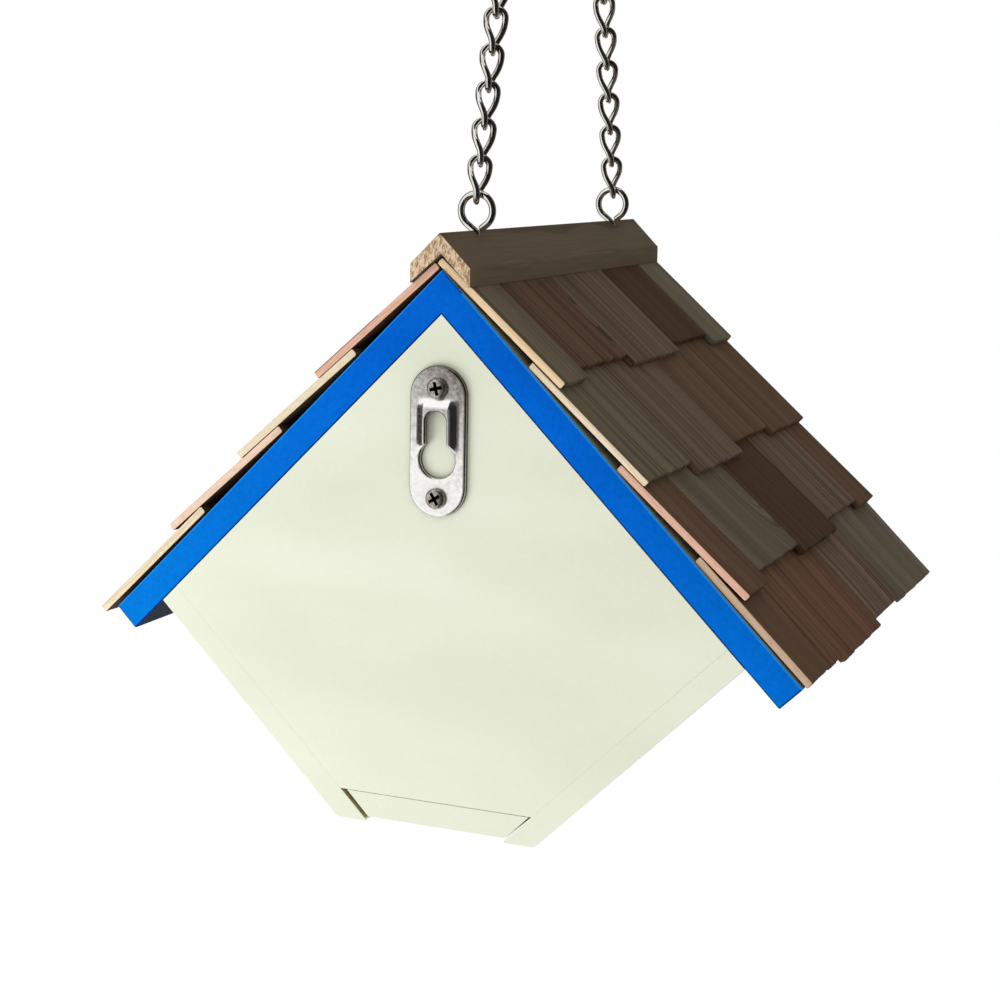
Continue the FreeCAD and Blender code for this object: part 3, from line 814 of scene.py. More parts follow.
@dataclass
class Shell:
    """The painted box: two end panels, two side walls and the clean-out floor."""

    palette: Palette
    entrance: float = 14.3 * MM         # radius
    entrance_drop: float = 76.0 * MM    # below the ridge
    panel_edge: float = 0.05 * MM
    floor_fill: float = 0.22 * MM       # paint in the joint above the floor
    wall_edge: float = 0.3 * MM
    foot_round: float = 1.0 * MM
    entrance_round: float = 0.7 * MM
    rim_room: float = 3.0 * MM          # round the entrance, where the outline's rounding doesn't reach
    inner_face: float = 1e-3            # least area of a face that is left bare, in square metres
    inward: float = 0.45                # how far such a face looks towards the nest
    sides: int = 64

    def build(self) -> None:
        """Builds and dresses the five boards."""
        for node in ("back_panel", "clean_out_floor"):
            mesh = hull_of(node)
            if node == "clean_out_floor":
                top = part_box(node)[1].z - NEAR
                raised = [v for v in mesh.verts if v.co.z > top]
                bmesh.ops.translate(mesh, vec=Z_AXIS * self.floor_fill, verts=raised)
            round_edges(mesh, sharp_edges(mesh), self.panel_edge)
            self.dress(mesh, node)
        for node in ("left_side_wall", "right_side_wall"):
            mesh = hull_of(node)
            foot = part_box(node)[0].z + NEAR
            corners = [e for e in mesh.edges if all(v.co.z < foot for v in e.verts) and self.lies_along_y(e)]
            round_edges(mesh, corners, self.foot_round, 4)
            round_edges(mesh, sharp_edges(mesh), self.wall_edge)
            self.dress(mesh, node)
        mesh = hull_of("front_panel")
        self.bore(mesh)
        rim = [e for e in sharp_edges(mesh, SQUARE) if self.on_rim(e)]
        round_edges(mesh, rim, self.entrance_round, 4)
        outline = [e for e in sharp_edges(mesh, SQUARE) if not self.on_rim(e, self.rim_room)]
        round_edges(mesh, outline, self.panel_edge)
        self.dress(mesh, "front_panel")

    @staticmethod
    def lies_along_y(edge: BMEdge) -> bool:
        """Tells whether an edge runs from front to back."""
        return abs((edge.verts[1].co - edge.verts[0].co).normalized().y) > FACING

    def on_rim(self, edge: BMEdge, room: float = 0.05 * MM) -> bool:
        """Tells whether both ends of an edge lie at the entrance's radius, give or take the room."""
        reach = [math.hypot(v.co.x, v.co.z - RIDGE + self.entrance_drop) for v in edge.verts]
        return all(abs(r - self.entrance) < room for r in reach)

    def bore(self, mesh: BMesh) -> None:
        """Cuts the round entrance through the front panel.

        Args:
            mesh: The whole panel.
        """
        rims = []
        for facing in (-1.0, 1.0):
            face = max(mesh.faces, key=lambda f: f.normal.y * facing)
            y = face.calc_center_median().y
            outline = list(face.edges)
            bmesh.ops.delete(mesh, geom=[face], context="FACES_ONLY")
            place = Matrix.Translation((0.0, y, RIDGE - self.entrance_drop))
            place @= Matrix.Rotation(QUARTER, 4, "X")
            ring = bmesh.ops.create_circle(mesh, segments=self.sides, radius=self.entrance, matrix=place)
            rim = edges_at(ring["verts"])
            bmesh.ops.triangle_fill(mesh, edges=outline + rim, use_beauty=True, normal=Y_AXIS * facing)
            rims += rim
        bmesh.ops.bridge_loops(mesh, edges=rims)
        bmesh.ops.recalc_face_normals(mesh, faces=mesh.faces)

    def dress(self, mesh: BMesh, node: str) -> None:
        """Paints the outside, leaves the inside bare, and settles the board.

        Args:
            mesh: The finished board.
            node: The CAD node that it stands for.
        """
        mesh.normal_update()
        for face in mesh.faces:
            inward = face.normal.dot((NEST - face.calc_center_median()).normalized()) > self.inward
            large = face.calc_area() > self.inner_face
            face.material_index = 1 if inward and large and node != "clean_out_floor" else 0
        settle(mesh, node + "_painted", [node], [self.palette.cream, self.palette.bare], FLAT)


@dataclass(frozen=True)
class Tone:
    """How one shingle took its stain."""

    colour: Colour
    stripe: float               # strength of its year lines
    grooves: float              # depth of its grooves, as a share
    arch: float = 0.0           # curve of its grain


class Stain(Enum):
    """The stains seen on the shingles."""

    BROWN = Tone(srgb(97, 73, 54), 0.45, 0.35)
    RUST = Tone(srgb(106, 76, 57), 0.6, 0.6)
    STREAKED = Tone(srgb(95, 71, 53), 0.8, 0.5, 0.18)
    DARK = Tone(srgb(80, 57, 40), 0.6, 0.4)
    STRIPED = Tone(srgb(106, 88, 71), 1.0, 1.0)
    OLIVE = Tone(srgb(104, 94, 74), 0.8, 0.8)
    GREY = Tone(srgb(103, 93, 77), 0.5, 0.4)
    CURVED = Tone(srgb(98, 87, 71), 0.5, 0.3, 0.32)


class Bare(Enum):
    """Colours of the sawn edges."""

    PEACH = srgb(245, 216, 174)
    BLUSH = srgb(246, 214, 190)
    CREAM = srgb(244, 228, 196)
    PINK = srgb(236, 190, 166)
    TAN = srgb(208, 180, 150)


@dataclass
class Course:
    """One row of shingles, listed from the back edge to the front."""

    node: str
    stains: tuple[Stain, ...]
    back: Bare
    front: Bare
    head_reach: float = 0.0     # further up under the cap
    edge: float = 0.32 * MM
    pitch: float = 0.8 * MM     # between cuts across a board
    cuts_along: int = 14
    groove: float = 0.22 * MM   # deepest groove
    ragged: float = 0.5 * MM    # unevenness of the lower ends
    wide_lines: Span = (9.0, 330.0)     # changes in a metre of the broad grooves, along and across
    fine_lines: Span = (12.0, 900.0)
    end_steps: Span = (700.0, 160.0)    # changes in a metre across the lower ends, fine and broad

    def build(self, palette: Palette) -> None:
        """Builds all boards of the row as one piece.

        Args:
            palette: The materials.
        """
        copy = copy_of(self.node)
        islands = self.islands(copy)
        copy.free()
        back = max(p.y for corners in islands for p in corners)
        front = min(p.y for corners in islands for p in corners)
        mesh = bmesh.new()
        for index, corners in enumerate(sorted(islands, key=lambda c: -max(p.y for p in c))):
            stain = self.stains[index % len(self.stains)].value
            rim = {1.0: max(p.y for p in corners) > back - MERGE,
                   -1.0: min(p.y for p in corners) < front + MERGE}
            seed = 17.0 * index + len(self.node) + 5.3 * float(self.node[-1])
            join(mesh, self.board(corners, stain, rim, seed))
        settle(mesh, self.node + "_boards", [self.node], [palette.shingle, palette.sawn])

    @staticmethod
    def islands(mesh: BMesh) -> list[list[Vector]]:
        """Splits a mesh into its separate boards.

        Args:
            mesh: The row's joined mesh.

        Returns:
            The corners of each board.
        """
        left = dict.fromkeys(mesh.verts)    # in order, so that every run gives the same boards
        found = []
        while left:
            grown = [left.popitem()[0]]
            for vert in grown:
                near = [other for edge in vert.link_edges if (other := edge.other_vert(vert)) in left]
                grown += near
                for other in near:
                    del left[other]
            found.append([vert.co.copy() for vert in grown])
        return found

    def board(self, corners: list[Vector], stain: Tone, rim: dict[float, bool], seed: float) -> BMesh:
        """Makes one board with rounded edges, grooves and an uneven lower end.

        Args:
            corners: The board's eight corners.
            stain: How it took its stain.
            rim: Whether its back (1) and front (-1) side are sawn edges at the end of the row.
            seed: Makes its grain its own.

        Returns:
            The board in its place.
        """
        corners.sort(key=lambda p: -p.z)
        head, foot = sum(corners[:4], Vector()) / 4.0, sum(corners[4:], Vector()) / 4.0
        along = (foot - head).normalized()
        for corner in (*corners[:4], head):
            corner -= along * self.head_reach
        out = along.cross(Y_AXIS)
        out *= math.copysign(1.0, out.z)
        across = out.cross(along)
        middle = (head + foot) / 2.0
        spans = [[(p - middle).dot(axis) for p in corners] for axis in (along, across, out)]
        size = [max(span) - min(span) for span in spans]
        mesh = bmesh.new()
        bmesh.ops.create_cube(mesh, size=1.0, matrix=Matrix.Diagonal((*size, 1.0)))
        bevel(mesh, mesh.edges, self.edge, 2)
        for axis, cuts in ((0, self.cuts_along), (1, int((size[1] + MERGE) / self.pitch))):
            long = [e for e in mesh.edges
                    if abs(e.verts[1].co[axis] - e.verts[0].co[axis]) > 0.6 * size[axis]]
            bmesh.ops.subdivide_edges(mesh, edges=long, cuts=cuts, use_grid_fill=True)
        side = math.copysign(1.0, across.y)
        self.carve(mesh, size, stain, side, seed)
        mesh.normal_update()
        for face in mesh.faces:
            facing = face.normal.y
            sawn = abs(facing) > FACING and rim[math.copysign(1.0, facing * side)]
            face.material_index = 1 if sawn else 0
        placed = Matrix((along, across, out)).transposed().to_4x4()
        placed.translation = middle
        bmesh.ops.transform(mesh, matrix=placed, verts=mesh.verts)
        return mesh

    def carve(self, mesh: BMesh, size: list[float], stain: Tone, side: float, seed: float) -> None:
        """Cuts the grooves and the uneven lower end, and writes what the finish reads.

        Args:
            mesh: The board, about its middle.
            size: Its length, width and thickness.
            stain: How it took its stain.
            side: 1 if its width runs to the back, -1 if it runs to the front.
            seed: Makes its grain its own.
        """
        layers = mesh.verts.layers
        for name in ("stain", "bare"):
            layers.float_color.new(name)
        for name in ("stripe", "arch", "groove"):
            layers.float.new(name)
        grain = layers.float_vector.new("grain")
        colour, bare = layers.float_color["stain"], layers.float_color["bare"]
        stripe, arch, groove = (layers.float[name] for name in ("stripe", "arch", "groove"))
        shift = Vector((0.0, 0.31 * seed, 0.017 * seed))
        if stain.arch:
            shift.xy = 0.2 * size[0], 0.45 * side * size[1]
        (wide_along, wide_across), (fine_along, fine_across) = self.wide_lines, self.fine_lines
        for vert in mesh.verts:
            along, across, out = vert.co
            line = noise.noise(Vector((along * wide_along, across * wide_across + seed, seed)))
            fine = noise.noise(Vector((along * fine_along, across * fine_across + seed, seed + 4.0)))
            depth = max(0.0, line - 0.12) + 0.4 * max(0.0, fine - 0.1)
            depth = min(1.0, 1.6 * depth) * stain.grooves
            ends = noise.noise(Vector((across * self.end_steps[0], seed, 1.0)))
            ends += 0.6 * noise.noise(Vector((across * self.end_steps[1], seed, 9.0)))
            vert[grain] = vert.co + shift
            vert[colour] = stain.colour
            vert[bare] = (self.back if across * side > 0.0 else self.front).value
            vert[stripe] = stain.stripe
            vert[arch] = stain.arch
            top = out > size[2] / 2.0 - self.edge * 0.4
            vert[groove] = depth if top else 0.0
            if top:
                vert.co.z -= depth * self.groove
            if along > size[0] / 2.0 - self.edge * 1.2:
                vert.co.x -= self.ragged * min(1.0, max(0.0, 0.45 + ends))


@dataclass
class Roof:
    """Roof boards, shingles and ridge cap."""

    palette: Palette
    board_edge: float = 0.4 * MM
    cap_edge: float = 0.3 * MM
    cap_fill: float = 0.7 * MM          # added under the cap's right leg, down to the shingles
    lap: float = 4.0 * MM               # least reach of the lapping board past the panel's top
    joint_room: float = 0.5 * MM
    left_reach: float = 3.8 * MM        # of the top courses, further up under the cap
    right_reach: float = 1.0 * MM

    def build(self) -> None:
        """Builds and dresses the roof from the boards up."""
        for side, node in ((-1.0, "left_roof_board"), (1.0, "right_roof_board")):
            self.deck(node, Vector((side, 0.0, 1.0)).normalized())
        s, left, right = Stain, "left_shingles_course_", "right_shingles_course_"
        rows = [
            Course(left + "1", (s.OLIVE, s.STREAKED, s.STRIPED, s.DARK, s.GREY), Bare.PEACH, Bare.CREAM,
                   self.left_reach),
            Course(left + "2", (s.OLIVE, s.STRIPED, s.BROWN, s.BROWN), Bare.CREAM, Bare.PINK),
            Course(left + "3", (s.BROWN, s.CURVED, s.DARK, s.STRIPED, s.BROWN), Bare.PINK, Bare.PEACH),
            Course(left + "4", (s.BROWN, s.RUST, s.RUST, s.STRIPED, s.GREY), Bare.TAN, Bare.CREAM),
            Course(right + "1", (s.BROWN, s.OLIVE, s.STRIPED, s.BROWN, s.DARK), Bare.PINK, Bare.CREAM,
                   self.right_reach),
            Course(right + "2", (s.STRIPED, s.BROWN, s.GREY, s.STREAKED, s.BROWN), Bare.CREAM, Bare.TAN),
            Course(right + "3", (s.BROWN, s.CURVED, s.DARK, s.OLIVE, s.BROWN), Bare.BLUSH, Bare.PINK),
            Course(right + "4", (s.STREAKED, s.GREY, s.BROWN, s.STRIPED, s.DARK), Bare.CREAM, Bare.PEACH),
        ]
        for row in rows:
            row.build(self.palette)
        self.cap()

    def deck(self, node: str, up: Vector) -> None:
        """Builds a roof board: blue edges, dark top and soffit.

        Args:
            node: The CAD node.
            up: The way its top faces.
        """
        mesh = hull_of(node)
        slope = up.cross(Y_AXIS)
        slope *= math.copysign(1.0, slope.z)
        apex = Vector((0.0, 0.0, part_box("back_panel")[1].z))
        whole = [*mesh.verts, *mesh.edges, *mesh.faces]
        bmesh.ops.bisect_plane(mesh, geom=whole, plane_co=apex, plane_no=slope, dist=MERGE)
        lapped = max((v.co - apex).dot(slope) for v in mesh.verts) < self.lap
        free = [e for e in sharp_edges(mesh) if not self.in_ridge_joint(e, slope, apex, up, lapped)]
        round_edges(mesh, free, self.board_edge, 3)
        edge_light_shade = mesh.faces.layers.float["edge"]
        mesh.normal_update()
        for face in mesh.faces:
            facing = face.normal.dot(up)
            # rounded faces that face up take the painted highlight, those that face down the painted shade
            if face[edge_light_shade]:
                face[edge_light_shade] = math.copysign(1.0, facing)
            elif abs(facing) > FACING:
                face.material_index = 1 if facing < 0.0 else 2
            elif face.normal.dot(slope) > FACING:
                face.material_index = 2
        finishes = [self.palette.blue, self.palette.soffit, self.palette.deck]
        settle(mesh, node + "_painted", [node], finishes, FLAT)

    def in_ridge_joint(self, edge: BMEdge, slope: Vector, apex: Vector, up: Vector, lapped: bool) -> bool:
        """Tells whether an edge lies in the joint of both boards, which is filled with paint.

        Args:
            edge: The edge.
            slope: The way up the slope.
            apex: Top of the back panel, where both undersides meet.
            up: The way the board's top faces.
            lapped: Whether the board ends under the other one.

        Returns:
            True for the end of the lapped board and for the underside above it.
        """
        offsets = [v.co - apex for v in edge.verts]
        if min(offset.dot(slope) for offset in offsets) < -self.joint_room:
            return False
        return lapped or max(abs(offset.dot(up)) for offset in offsets) < self.joint_room

    def cap(self) -> None:
        """Draws the ridge cap out from the outline of its end."""
        copy = copy_of("ridge_cap")
        flatten(copy)
        end = max(copy.faces, key=lambda f: f.normal.y)
        low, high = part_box("ridge_cap")
        mesh = bmesh.new()
        face = mesh.faces.new([mesh.verts.new(v.co) for v in end.verts])
        copy.free()
        middle = face.calc_center_median()
        notch = min(face.verts, key=lambda v: (v.co - middle).length)
        notch.co -= (X_AXIS + Z_AXIS).normalized() * self.cap_fill
        grown = bmesh.ops.extrude_face_region(mesh, geom=[face])["geom"]
        bmesh.ops.translate(mesh, vec=Y_AXIS * (low.y - high.y), verts=verts_in(grown))
        bmesh.ops.recalc_face_normals(mesh, faces=mesh.faces)
        round_edges(mesh, sharp_edges(mesh), self.cap_edge, 3)
        mesh.normal_update()
        for part in mesh.faces:
            part.material_index = 1 if abs(part.normal.y) > FACING else 0
        finishes = [self.palette.cap, self.palette.cap_end]
        settle(mesh, "ridge_cap_moulding", ["ridge_cap"], finishes, FLAT)


class Wire:
    """A round wire drawn out in straight runs and bends."""

    END_ROUND = 0.45        # rounding of its ends, as a share of its radius

    def __init__(self, radius: float, point: Vector, heading: Vector, sides: int = 24) -> None:
        """Starts the wire.

        Args:
            radius: Half its thickness.
            point: Where its centre line starts.
            heading: The way it sets off.
            sides: Faces round it.
        """
        self.mesh = bmesh.new()
        self.radius = radius
        place = Matrix.Translation(point) @ heading.to_track_quat("Z", "Y").to_matrix().to_4x4()
        ring = bmesh.ops.create_circle(self.mesh, segments=sides, radius=radius, matrix=place)["verts"]
        self.first = edges_at(ring)
        self.last = list(self.first)

    def run(self, step: Vector) -> None:
        """Draws the wire straight on.

        Args:
            step: How far, and which way.
        """
        self.last = extruded(self.mesh, self.last)
        bmesh.ops.translate(self.mesh, vec=step, verts=ends_of(self.last))

    def bend(self, centre: Vector, axis: Vector, angle: float, largest: float = 6.0) -> None:
        """Bends the wire round a centre.

        Args:
            centre: Middle of the bend.
            axis: The axis it turns about.
            angle: How far, in radians.
            largest: Largest step of the turn, in degrees.
        """
        steps = max(2, math.ceil(angle / math.radians(largest)))
        made = bmesh.ops.spin(self.mesh, geom=ends_of(self.last) + self.last, cent=centre, axis=axis,
                              angle=angle, steps=steps)
        self.last = edges_in(made["geom_last"])

    def weld(self) -> BMesh:
        """Joins the wire's end to its start, where they meet.

        Returns:
            The ring.
        """
        bmesh.ops.remove_doubles(self.mesh, verts=self.mesh.verts, dist=MERGE)
        bmesh.ops.recalc_face_normals(self.mesh, faces=self.mesh.faces)
        return self.mesh

    def close(self) -> BMesh:
        """Closes and rounds both ends.

        Returns:
            The wire.
        """
        ends = self.first + self.last
        bmesh.ops.holes_fill(self.mesh, edges=ends, sides=0)
        bmesh.ops.recalc_face_normals(self.mesh, faces=self.mesh.faces)
        bevel(self.mesh, [e for e in ends if e.is_valid], self.radius * self.END_ROUND, 3)
        return self.mesh


@dataclass
class Chains:
    """Screw eyes, twisted links and hooks of both chains."""

    palette: Palette
    eye_wire: float = 1.0 * MM          # half the thickness
    eye_radius: float = 4.55 * MM
    eye_y: float = 54.25 * MM
    eye_top: float = -85.647 * MM       # of the ring's centre line
    eye_fork: float = -95.9 * MM        # where both strands of the ring meet the shank
    eye_tip: float = -113.0 * MM
    eye_bend: float = 1.5 * MM          # radius of the bend at the fork
    eye_gap: float = 1.3 * MM           # from the ring's free end to the fork
    link_wire: float = 0.9 * MM
    link_radius: float = 2.55 * MM
    link_length: float = 12.0 * MM
    link_pitch: float = 10.0 * MM
    link_steps: int = 16                # rings in a side
    flat_end: float = 1.4 * MM          # of a link, which the twist leaves flat
    link_turn: float = math.radians(22.0)
    turn_lost: float = 0.6              # share of that turn that is gone at the hook
    links: int = 7
    lean: float = math.radians(13.0)
    first_foot: float = -2.2 * MM       # of the lowest link, from the top of the ring's centre line
    hook_foot: float = 67.6 * MM
    hook_wire: float = 1.1 * MM
    hook_eye: float = 3.4 * MM
    hook_bend: float = 5.0 * MM
    hook_reach: float = 12.97 * MM
    hook_eye_turn: float = math.radians(250.0)
    hook_bend_turn: float = math.radians(238.0)

    def build(self) -> None:
        """Builds and dresses both chains from the house up."""
        for end, side in (("front", -1.0), ("rear", 1.0)):
            self.dress(self.eye(side), end + "_eye_wire", end + "_eye_screw")
            for number in range(1, self.links + 1):
                foot = self.first_foot + (number - 1) * self.link_pitch
                turn = self.link_turn * (1.0 - self.turn_lost * ((number - 1) / (self.links - 1)) ** 3)
                name = "%s_link_%d" % (end, number)
                self.dress(self.hung(self.link(turn), side, foot), name + "_wire", name)
            self.dress(self.hung(self.hook(), side, self.hook_foot), end + "_hook_wire", end + "_hook")

    def dress(self, mesh: BMesh, name: str, node: str) -> None:
        """Plates a wire and settles it in place of its CAD node."""
        settle(mesh, name, [node], [self.palette.bright])

    def hung(self, mesh: BMesh, side: float, distance: float) -> BMesh:
        """Moves a link or hook to its place up a chain.

        Args:
            mesh: The link or hook, standing on its lowest point.
            side: 1 for the rear chain, -1 for the front one.
            distance: From the top of the screw eye, along the chain.

        Returns:
            The same mesh.
        """
        y = side * (self.eye_y - math.sin(self.lean) * distance)
        point = Vector((0.0, y, self.eye_top + math.cos(self.lean) * distance))
        place = Matrix.Translation(point) @ Matrix.Rotation(side * self.lean, 4, "X")
        bmesh.ops.transform(mesh, matrix=place, verts=mesh.verts)
        return mesh

    def eye(self, side: float) -> BMesh:
        """Bends a screw eye whose ring narrows to the shank.

        Args:
            side: 1 for the rear eye, -1 for the front one.

        Returns:
            The wire.
        """
        y = side * self.eye_y
        tip = Vector((0.0, y, self.eye_tip))
        centre = Vector((0.0, y, self.eye_top - self.eye_radius))
        drop = centre.z - self.eye_fork
        slant = math.asin(self.eye_radius / drop)
        strand = math.sqrt(drop ** 2 - self.eye_radius ** 2)
        cut = self.eye_bend * math.tan(slant / 2.0)
        neck = Vector((0.0, y, self.eye_fork - cut))
        wire = Wire(self.eye_wire, tip, Z_AXIS)
        wire.run(neck - tip)
        wire.bend(neck + X_AXIS * self.eye_bend, Y_AXIS, slant)
        wire.run(Vector((math.sin(slant), 0.0, math.cos(slant))) * (strand - cut))
        wire.bend(centre, -Y_AXIS, math.pi + 2.0 * slant, 5.0)
        wire.run(Vector((math.sin(slant), 0.0, -math.cos(slant))) * (strand - self.eye_gap))
        return wire.close()

    def link(self, turn: float) -> BMesh:
        """Bends a long ring, welds it, and twists its sides a quarter turn between its flat ends.

        Args:
            turn: How far it hangs turned about its length.

        Returns:
            The wire, standing on its lowest point.
        """
        radius = self.link_radius
        side = self.link_length - 2.0 * radius
        wire = Wire(self.link_wire, Vector((-radius, 0.0, radius)), -Z_AXIS)
        for middle, way in ((radius, 1.0), (radius + side, -1.0)):
            wire.bend(Vector((0.0, 0.0, middle)), -Y_AXIS, math.pi, 9.0)
            for _ in range(self.link_steps):
                wire.run(Z_AXIS * way * side / self.link_steps)
        mesh = wire.weld()
        span = self.link_length - 2.0 * self.flat_end
        for vert in mesh.verts:
            middle = min(max(vert.co.z, radius), radius + side)
            out = Vector((vert.co.x, 0.0, vert.co.z - middle)).normalized() * radius
            centre = Vector((out.x, 0.0, middle + out.z))       # of the wire at this ring
            share = min(1.0, max(0.0, (centre.z - self.flat_end) / span))
            # the twist eases in and out along the link, and the wire slants by the slope of that ease
            twist = QUARTER * (1.0 - share * share * (3.0 - 2.0 * share))
            slant = math.atan(centre.x * QUARTER * 6.0 * share * (1.0 - share) / span)
            vert.co = centre + Matrix.Rotation(slant, 3, "X") @ (vert.co - centre)
            vert.co.rotate(Matrix.Rotation(twist + turn, 3, "Z"))
        return mesh

    def hook(self) -> BMesh:
        """Bends an open S-hook in the YZ plane.

        Returns:
            The wire, standing on its lowest point.
        """
        swing = math.acos((self.hook_eye + self.hook_bend) / self.hook_reach)
        eye_end, bend_start = QUARTER - swing, 3.0 * QUARTER - swing
        low = Vector((0.0, 0.0, self.hook_eye))
        high = Vector((0.0, 0.0, self.hook_eye + self.hook_reach))

        def rim(angle: float) -> Vector:
            """Gives the way from a bend's middle to its rim."""
            return Vector((0.0, math.cos(angle), math.sin(angle)))

        eye_start = eye_end - self.hook_eye_turn
        wire = Wire(self.hook_wire, low + rim(eye_start) * self.hook_eye, rim(eye_start + QUARTER))
        wire.bend(low, X_AXIS, self.hook_eye_turn)
        wire.run(high + rim(bend_start) * self.hook_bend - low - rim(eye_end) * self.hook_eye)
        wire.bend(high, -X_AXIS, self.hook_bend_turn)
        return wire.close()


@dataclass
class KeyholePlate:
    """The pressed plate with its raised middle, and its two screws."""

    palette: Palette
    top: float = RIDGE - 24.7 * MM
    height: float = 40.0 * MM
    width: float = 16.2 * MM
    sheet: float = 1.5 * MM
    slot_top: float = 11.9 * MM
    slot_width: float = 5.8 * MM
    keyhole_drop: float = 24.7 * MM
    keyhole_radius: float = 4.9 * MM
    boss_top: float = 8.0 * MM
    boss_bottom: float = 23.0 * MM
    boss_width: float = 12.6 * MM
    boss_slope: float = 3.0 * MM
    boss_shoulder: float = 3.6 * MM     # length of its upper slope
    boss_bend: float = 0.15             # share of a slope that bends at each end
    boss_rise: float = 1.35 * MM
    rim_round: float = 0.7 * MM
    rings: int = 26                     # between the keyhole and the rim
    rim_steps: tuple[int, int] = (48, 32)               # edges in a round end and in a side
    slot_steps: tuple[int, int, int] = (40, 20, 80)     # in the slot's end, its side and the round hole
    screw_drops: Span = (5.9 * MM, 34.9 * MM)
    screw_turns: Span = (math.radians(14.0), math.radians(32.0))
    head_profile: tuple[Span, ...] = ((2.4, 1.38), (2.66, 1.1), (2.8, 0.7), (2.8, 0.0))     # mm out and up
    head_sides: int = 40
    crown: float = 1.5 * MM
    crown_radius: float = 2.1 * MM
    cross_reach: float = 1.8 * MM
    cross_arm: float = 0.46 * MM        # half the width of an arm
    cross_depth: float = 1.1 * MM
    cross_taper: float = 0.68

    def build(self) -> None:
        """Builds and dresses the plate and its screws."""
        settle(self.plate(), "keyhole_plate_pressed", ["keyhole_hanger"],
               [self.palette.plate])
        mesh = bmesh.new()
        for drop, turn in zip(self.screw_drops, self.screw_turns):
            join(mesh, self.head(self.top - drop, turn))
        settle(mesh, "plate_screw_heads", ["hanger_screws"], [self.palette.dull])

    @staticmethod
    def arc(mesh: BMesh, vert: BMVert, centre: Vector, angle: float, steps: int) -> BMVert:
        """Draws an outline on round a centre, about -Y, and gives its new end."""
        made = bmesh.ops.spin(mesh, geom=[vert], cent=centre, axis=-Y_AXIS, angle=angle, steps=steps)
        return verts_in(made["geom_last"])[0]

    @staticmethod
    def line(mesh: BMesh, vert: BMVert, end: Vector, steps: int) -> BMVert:
        """Draws an outline straight on to a point.

        Args:
            mesh: The mesh.
            vert: The outline's end.
            end: The point.
            steps: Edges in the line.

        Returns:
            The outline's new end.
        """
        step = (end - vert.co) / steps
        for _ in range(steps):
            vert = bmesh.ops.extrude_vert_indiv(mesh, verts=[vert])["verts"][0]
            bmesh.ops.translate(mesh, vec=step, verts=[vert])
        return vert

    def plate(self) -> BMesh:
        """Presses the plate.

        Returns:
            The plate.
        """
        mesh = bmesh.new()
        face = BACK + self.sheet
        self.outlines(mesh, face)
        bmesh.ops.remove_doubles(mesh, verts=mesh.verts, dist=MERGE)
        bmesh.ops.bridge_loops(mesh, edges=mesh.edges)
        bmesh.ops.recalc_face_normals(mesh, faces=mesh.faces)
        if sum(f.normal.y for f in mesh.faces) < 0.0:
            bmesh.ops.reverse_faces(mesh, faces=mesh.faces)
        bmesh.ops.solidify(mesh, geom=mesh.faces[:], thickness=self.sheet)
        bmesh.ops.recalc_face_normals(mesh, faces=mesh.faces)
        front = [e for e in sharp_edges(mesh, SQUARE) if min(v.co.y for v in e.verts) > face - MERGE]
        bevel(mesh, front, self.rim_round, 4)
        mesh.normal_update()
        spokes = [e for e in mesh.edges if all(abs(f.normal.y) > 0.999 for f in e.link_faces)]
        bmesh.ops.subdivide_edges(mesh, edges=spokes, cuts=self.rings, use_grid_fill=True)
        layers = mesh.verts.layers.float
        for name in ("pressed", "side"):
            layers.new(name)
        pressed, side = layers["pressed"], layers["side"]
        # the finish paints a highlight where pressed is high and shade where side is high
        for vert in mesh.verts:
            rise = self.raised(vert.co)
            share = rise / self.boss_rise
            vert[pressed] = 4.0 * share * (1.0 - share)
            vert[side] = min(1.0, max(0.0, face - vert.co.y) / self.rim_round)
            vert.co.y += rise
        return mesh

    def outlines(self, mesh: BMesh, face: float) -> None:
        """Draws the outlines of the plate and of its keyhole.

        Args:
            mesh: The mesh that takes them.
            face: Their y.
        """
        radius, half = self.width / 2.0, self.slot_width / 2.0
        high, low = self.top - radius, self.top - self.height + radius
        bent, straight = self.rim_steps
        start = Vector((radius, face, high))
        vert = self.arc(mesh, mesh.verts.new(start), Vector((0.0, face, high)), math.pi, bent)
        vert = self.line(mesh, vert, Vector((-radius, face, low)), straight)
        vert = self.arc(mesh, vert, Vector((0.0, face, low)), math.pi, bent)
        self.line(mesh, vert, start, straight)
        centre = Vector((0.0, face, self.top - self.keyhole_drop))
        slot = Vector((0.0, face, self.top - self.slot_top - half))
        opening = math.asin(half / self.keyhole_radius)
        mouth = self.keyhole_radius * math.cos(opening)
        bent, straight, hole = self.slot_steps
        start = slot + X_AXIS * half
        vert = self.arc(mesh, mesh.verts.new(start), slot, math.pi, bent)
        vert = self.line(mesh, vert, centre + Vector((-half, 0.0, mouth)), straight)
        vert = self.arc(mesh, vert, centre, 2.0 * (math.pi - opening), hole)
        self.line(mesh, vert, start, straight)

    def raised(self, point: Vector) -> float:
        """Tells how far the plate's middle is pressed out at a point.

        Args:
            point: The point.

        Returns:
            Its rise over the flat sheet.
        """
        ways = ((self.boss_width / 2.0 - abs(point.x), self.boss_slope),
                (self.top - self.boss_top - point.z, self.boss_shoulder),
                (point.z - self.top + self.boss_bottom, self.boss_slope))
        rise = self.boss_rise
        for inside, run in ways:
            share = min(1.0, max(0.0, inside / run))
            bent = min(share, 1.0 - share, self.boss_bend)
            lift = bent * bent / (2.0 * self.boss_bend) + max(0.0, min(share, 1.0 - share) - bent)
            lift /= 1.0 - self.boss_bend
            rise *= lift if share < 0.5 else 1.0 - lift
        return rise

